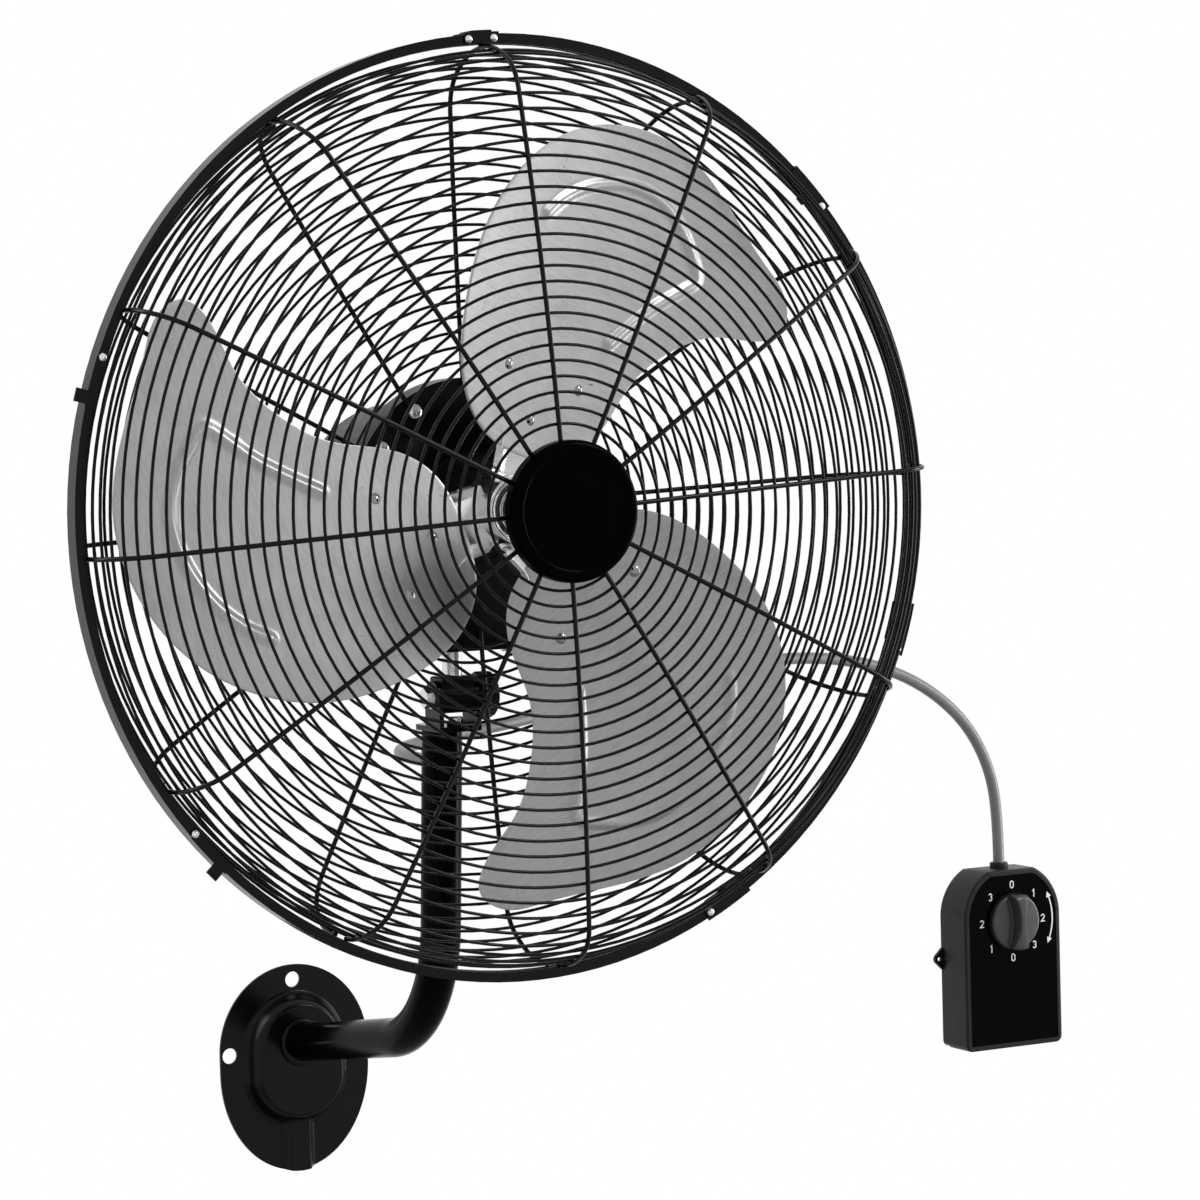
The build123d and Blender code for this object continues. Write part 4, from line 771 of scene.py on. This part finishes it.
def insideOval(x, z, half, rise, waist, drop):
    # depth inside two half ellipses with a straight waist between them
    up = np.where(z > 0, z / rise, np.where(z > -waist, 0, (z + waist) / drop))
    reach = np.where(z > 0, rise, np.where(z > -waist, np.inf, drop))
    value = (x / half) ** 2 + up ** 2 - 1
    slope = 2 * np.sqrt((x / half ** 2) ** 2 + (up / reach) ** 2)
    return -value / np.maximum(slope, wallPlate["leastSlope"] / half)


def softLower(a, b, soft):
    mix = np.maximum(soft - np.abs(a - b), 0) / soft
    return np.minimum(a, b) - mix * mix * soft / 4


def softHigher(a, b, soft):
    return -softLower(-a, -b, soft)


def plateRise(x, z):
    # the front face's height over the wall: the flat rim, the domed crown and the cable channel
    plate = wallPlate
    inside = insideOval(x, z, plate["crownHalf"], plate["crownTop"], plate["crownWaist"], plate["crownDrop"])
    crown = softLower(inside / tan(radians(plate["taper"])), plate["crownRise"], plate["crownSoft"])
    side = (plate["channelHalf"] - np.abs(x)) / tan(radians(plate["channelTaper"]))
    channel = softLower(side, plate["channelRise"], plate["footSoft"])
    channel = np.where(z < plate["channelTop"], channel, plate["farBelow"])
    raised = softHigher(crown, channel, plate["footSoft"])
    return softHigher(raised, plate["thickness"], plate["soft"])


def plateReach(angle):
    # how far the plate's rim lies from its middle, found by halving
    plate = wallPlate
    low, high = np.zeros(len(angle)), np.full(len(angle), plate["farOut"])
    for _ in range(plate["halvings"]):
        half = (low + high) / 2
        inside = insideOval(half * np.cos(angle), plate["middle"] + half * np.sin(angle), plate["half"],
                            plate["rise"], plate["waist"], plate["drop"]) > 0
        low, high = np.where(inside, half, low), np.where(inside, high, half)
    return low


def addDrill(radius, depth, sides, place, lean):
    # a cylinder that stands out of the wall, leaning up by lean
    deselectAll()
    bpy.ops.mesh.primitive_cylinder_add(vertices=sides, radius=radius * mm, depth=depth * mm,
                                        location=place, rotation=(pi / 2 - lean, 0, 0))
    return bpy.context.object


def makeWallPlate():
    plate = wallPlate
    sheet, share, out = addGrid("wallPlatePressed", plate["around"], plate["rings"])
    angle = share * 2 * pi - pi / 2
    reach = out * plateReach(angle)
    x, z = reach * np.cos(angle), plate["middle"] + reach * np.sin(angle)
    setPlaces(sheet, x, -plateRise(x, z), z)
    closeDisc(sheet, x, z)
    faceRoom(sheet)
    applyModifier(sheet, "SOLIDIFY", thickness=plate["thickness"] * mm, offset=-1)
    drills = [addDrill(plate["holeRadius"], plate["holeDepth"], plate["holeSides"],
                       (across * mm, 0, up * mm), 0) for across, up in plate["holes"]]
    drills.append(addDrill(plate["boreRadius"], plate["boreDepth"], plate["boreSides"],
                           (0, 0, plate["tubeRoot"] * mm), radians(plate["tubeRise"])))
    cutter = joinPieces(drills, "plateCutter")
    freeze(cutter)
    applyModifier(sheet, "BOOLEAN", operation="DIFFERENCE", object=cutter, solver="EXACT")
    bpy.data.objects.remove(cutter)
    roundEdges(sheet, plate["edgeRound"], plate["edgeAngle"])
    smoothByAngle(sheet, "sheet")
    giveFinish(sheet, finishes["black_paint"])
    handIn(sheet, "mount", "black_paint", "wall_plate")


knob = {
    "radius": 24.5, "discRise": 7.0, "dome": 0.9, "rimRound": 2.2,
    "gripRise": 18.0, "gripFall": 2.0, "gripCrown": 0.6, "endRound": 4.5, "endShare": 0.9995,
    "waist": 4.6, "ends": 9.5, "wall": 1.1, "wallRise": 5.0, "gripSoft": 2.7, "footSoft": 1.8,
    "skirtFrom": 0.94,  # the grid's rows past this share hang down to the back
    "around": 320, "rings": 100,
}


def quarterRound(share):
    # 0 at the start, 1 straight down at the end
    return 1 - np.sqrt(1 - share ** 2)


def makeKnob():
    # a disc with a waisted grip standing on it, as one height sheet with a closed back
    part = knob
    place = jointPlaces["speed_knob_turn"]
    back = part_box("control_knob")[1].y
    sheet, share, out = addGrid("controlKnobMoulded", part["around"], part["rings"])
    angle = share * 2 * pi
    radius = np.minimum(out / part["skirtFrom"], 1) * part["radius"]
    x, z = radius * np.cos(angle), radius * np.sin(angle)
    edge = np.clip((radius - part["radius"] + part["rimRound"]) / part["rimRound"], 0, 1)
    disc = (part["discRise"] - part["dome"] * (radius / part["radius"]) ** 2
            - part["rimRound"] * quarterRound(edge))
    along = z / part["radius"]
    half = part["waist"] + (part["ends"] - part["waist"]) * along ** 2
    top = part["gripRise"] - part["gripFall"] * along ** 2 - part["gripCrown"] * (x / part["ends"]) ** 2
    endFall = np.clip((radius - part["radius"] + part["endRound"]) / part["endRound"], 0, 1)
    top = top - part["endRound"] * quarterRound(part["endShare"] * endFall)
    wall = (half - np.abs(x)) / part["wall"] * part["wallRise"] + part["discRise"]
    grip = softLower(wall, top, part["gripSoft"])
    rise = softHigher(disc, grip, part["footSoft"])
    skirt = np.clip((1 - out) / (1 - part["skirtFrom"]), 0, 1)
    rise = np.where(out > part["skirtFrom"], rise * skirt, rise)
    setPlaces(sheet, x, -rise, z, (place.x, back, place.z))
    closeDisc(sheet, x, z)
    faceRoom(sheet)
    takeActive(sheet)
    bpy.ops.object.mode_set(mode="EDIT")
    bpy.ops.mesh.select_all(action="DESELECT")
    bpy.ops.mesh.select_non_manifold()
    bpy.ops.mesh.edge_face_add()
    bpy.ops.object.mode_set(mode="OBJECT")
    smoothByAngle(sheet, "moulded")
    giveFinish(sheet, knobSatinPaintedLight)
    handIn(sheet, "control_knob", "black_satin", "control_knob")


studio = {
    "floorHeight": -0.42,
    "floorSize": (2.6, 1.5),
    "floorPlace": (0.2, -0.45),
    "fill": 0.3, "background": 1.0,
    # place, target, width and height in metres, and watts
    "lamps": {
        "keyLamp": ((1.8, -2.25, 2.1), (0.1, -0.4, 0.4), (1.0, 1.0), 38),
        "sideLamp": ((2.4, -0.9, 0.35), (0.1, -0.3, 0.3), (0.9, 1.6), 36),
        "backLamp": ((-1.8, 0.7, 1.3), (0, -0.3, 0.4), (0.5, 1.6), 14),
    },
}


def addSoftbox(name, place, target, size, power):
    bpy.ops.object.light_add(type="AREA", location=place)
    lamp = bpy.context.object
    lamp.name = name
    lamp.data.shape = "RECTANGLE"
    lamp.data.size, lamp.data.size_y = size
    lamp.data.energy = power
    aim = Vector(target) - Vector(place)
    lamp.rotation_euler = aim.to_track_quat("-Z", "Y").to_euler()


def makeFloor():
    deselectAll()
    bpy.ops.mesh.primitive_plane_add(size=1, location=(*studio["floorPlace"], studio["floorHeight"]))
    floor = bpy.context.object
    floor.name = "studioFloor"
    floor.scale = (*studio["floorSize"], 1)
    freeze(floor)
    giveFinish(floor, paintedFinish("floorPaint", grey(0.74), grey(0.78), rough=(0.6, 0.7), grain=300,
                                    grainDepth=0.02, sheen=0.3, patch=2))


def makeWorld():
    # seen straight, in gloss or through glass it is white, and it lights the object more dimly
    world = bpy.data.worlds.new("studioWorld")
    bpy.context.scene.world = world
    world.use_nodes = True
    tree = world.node_tree
    paths = tree.nodes.new("ShaderNodeLightPath")
    seen = paths.outputs["Is Camera Ray"]
    for ray in ("Is Glossy Ray", "Is Transmission Ray"):
        either = addNode(tree, "ShaderNodeMath", operation="MAXIMUM")
        tree.links.new(seen, either.inputs[0])
        tree.links.new(paths.outputs[ray], either.inputs[1])
        seen = either.outputs[0]
    strength = tree.nodes.new("ShaderNodeMapRange")
    strength.inputs["To Min"].default_value = studio["fill"]
    strength.inputs["To Max"].default_value = studio["background"]
    tree.links.new(seen, strength.inputs["Value"])
    back = tree.nodes["Background"]
    back.inputs["Color"].default_value = (1, 1, 1, 1)
    tree.links.new(strength.outputs["Result"], back.inputs["Strength"])


def makeStudio():
    makeFloor()
    makeWorld()
    for name, settings in studio["lamps"].items():
        addSoftbox(name, *settings)
    bpy.context.scene.view_settings.view_transform = "Standard"


makeCamera()
makeCable(finishes["cable_grey"])
print("camera and cable made")
dressNodes()
for nodeName in roundedNodes:
    smoothCopy(nodeName)
print("curved pieces smoothed:", len(roundedNodes))
for bladeIndex in range(len(blade["angles"])):
    makeBlade(bladeIndex)
makeSpider()
print("blades and hub made")
makeHubCap()
makePanScrews()
print("cap and screws turned")
makeWallPlate()
makeKnob()
print("wall plate and knob made")
makeStudio()
print("studio made")
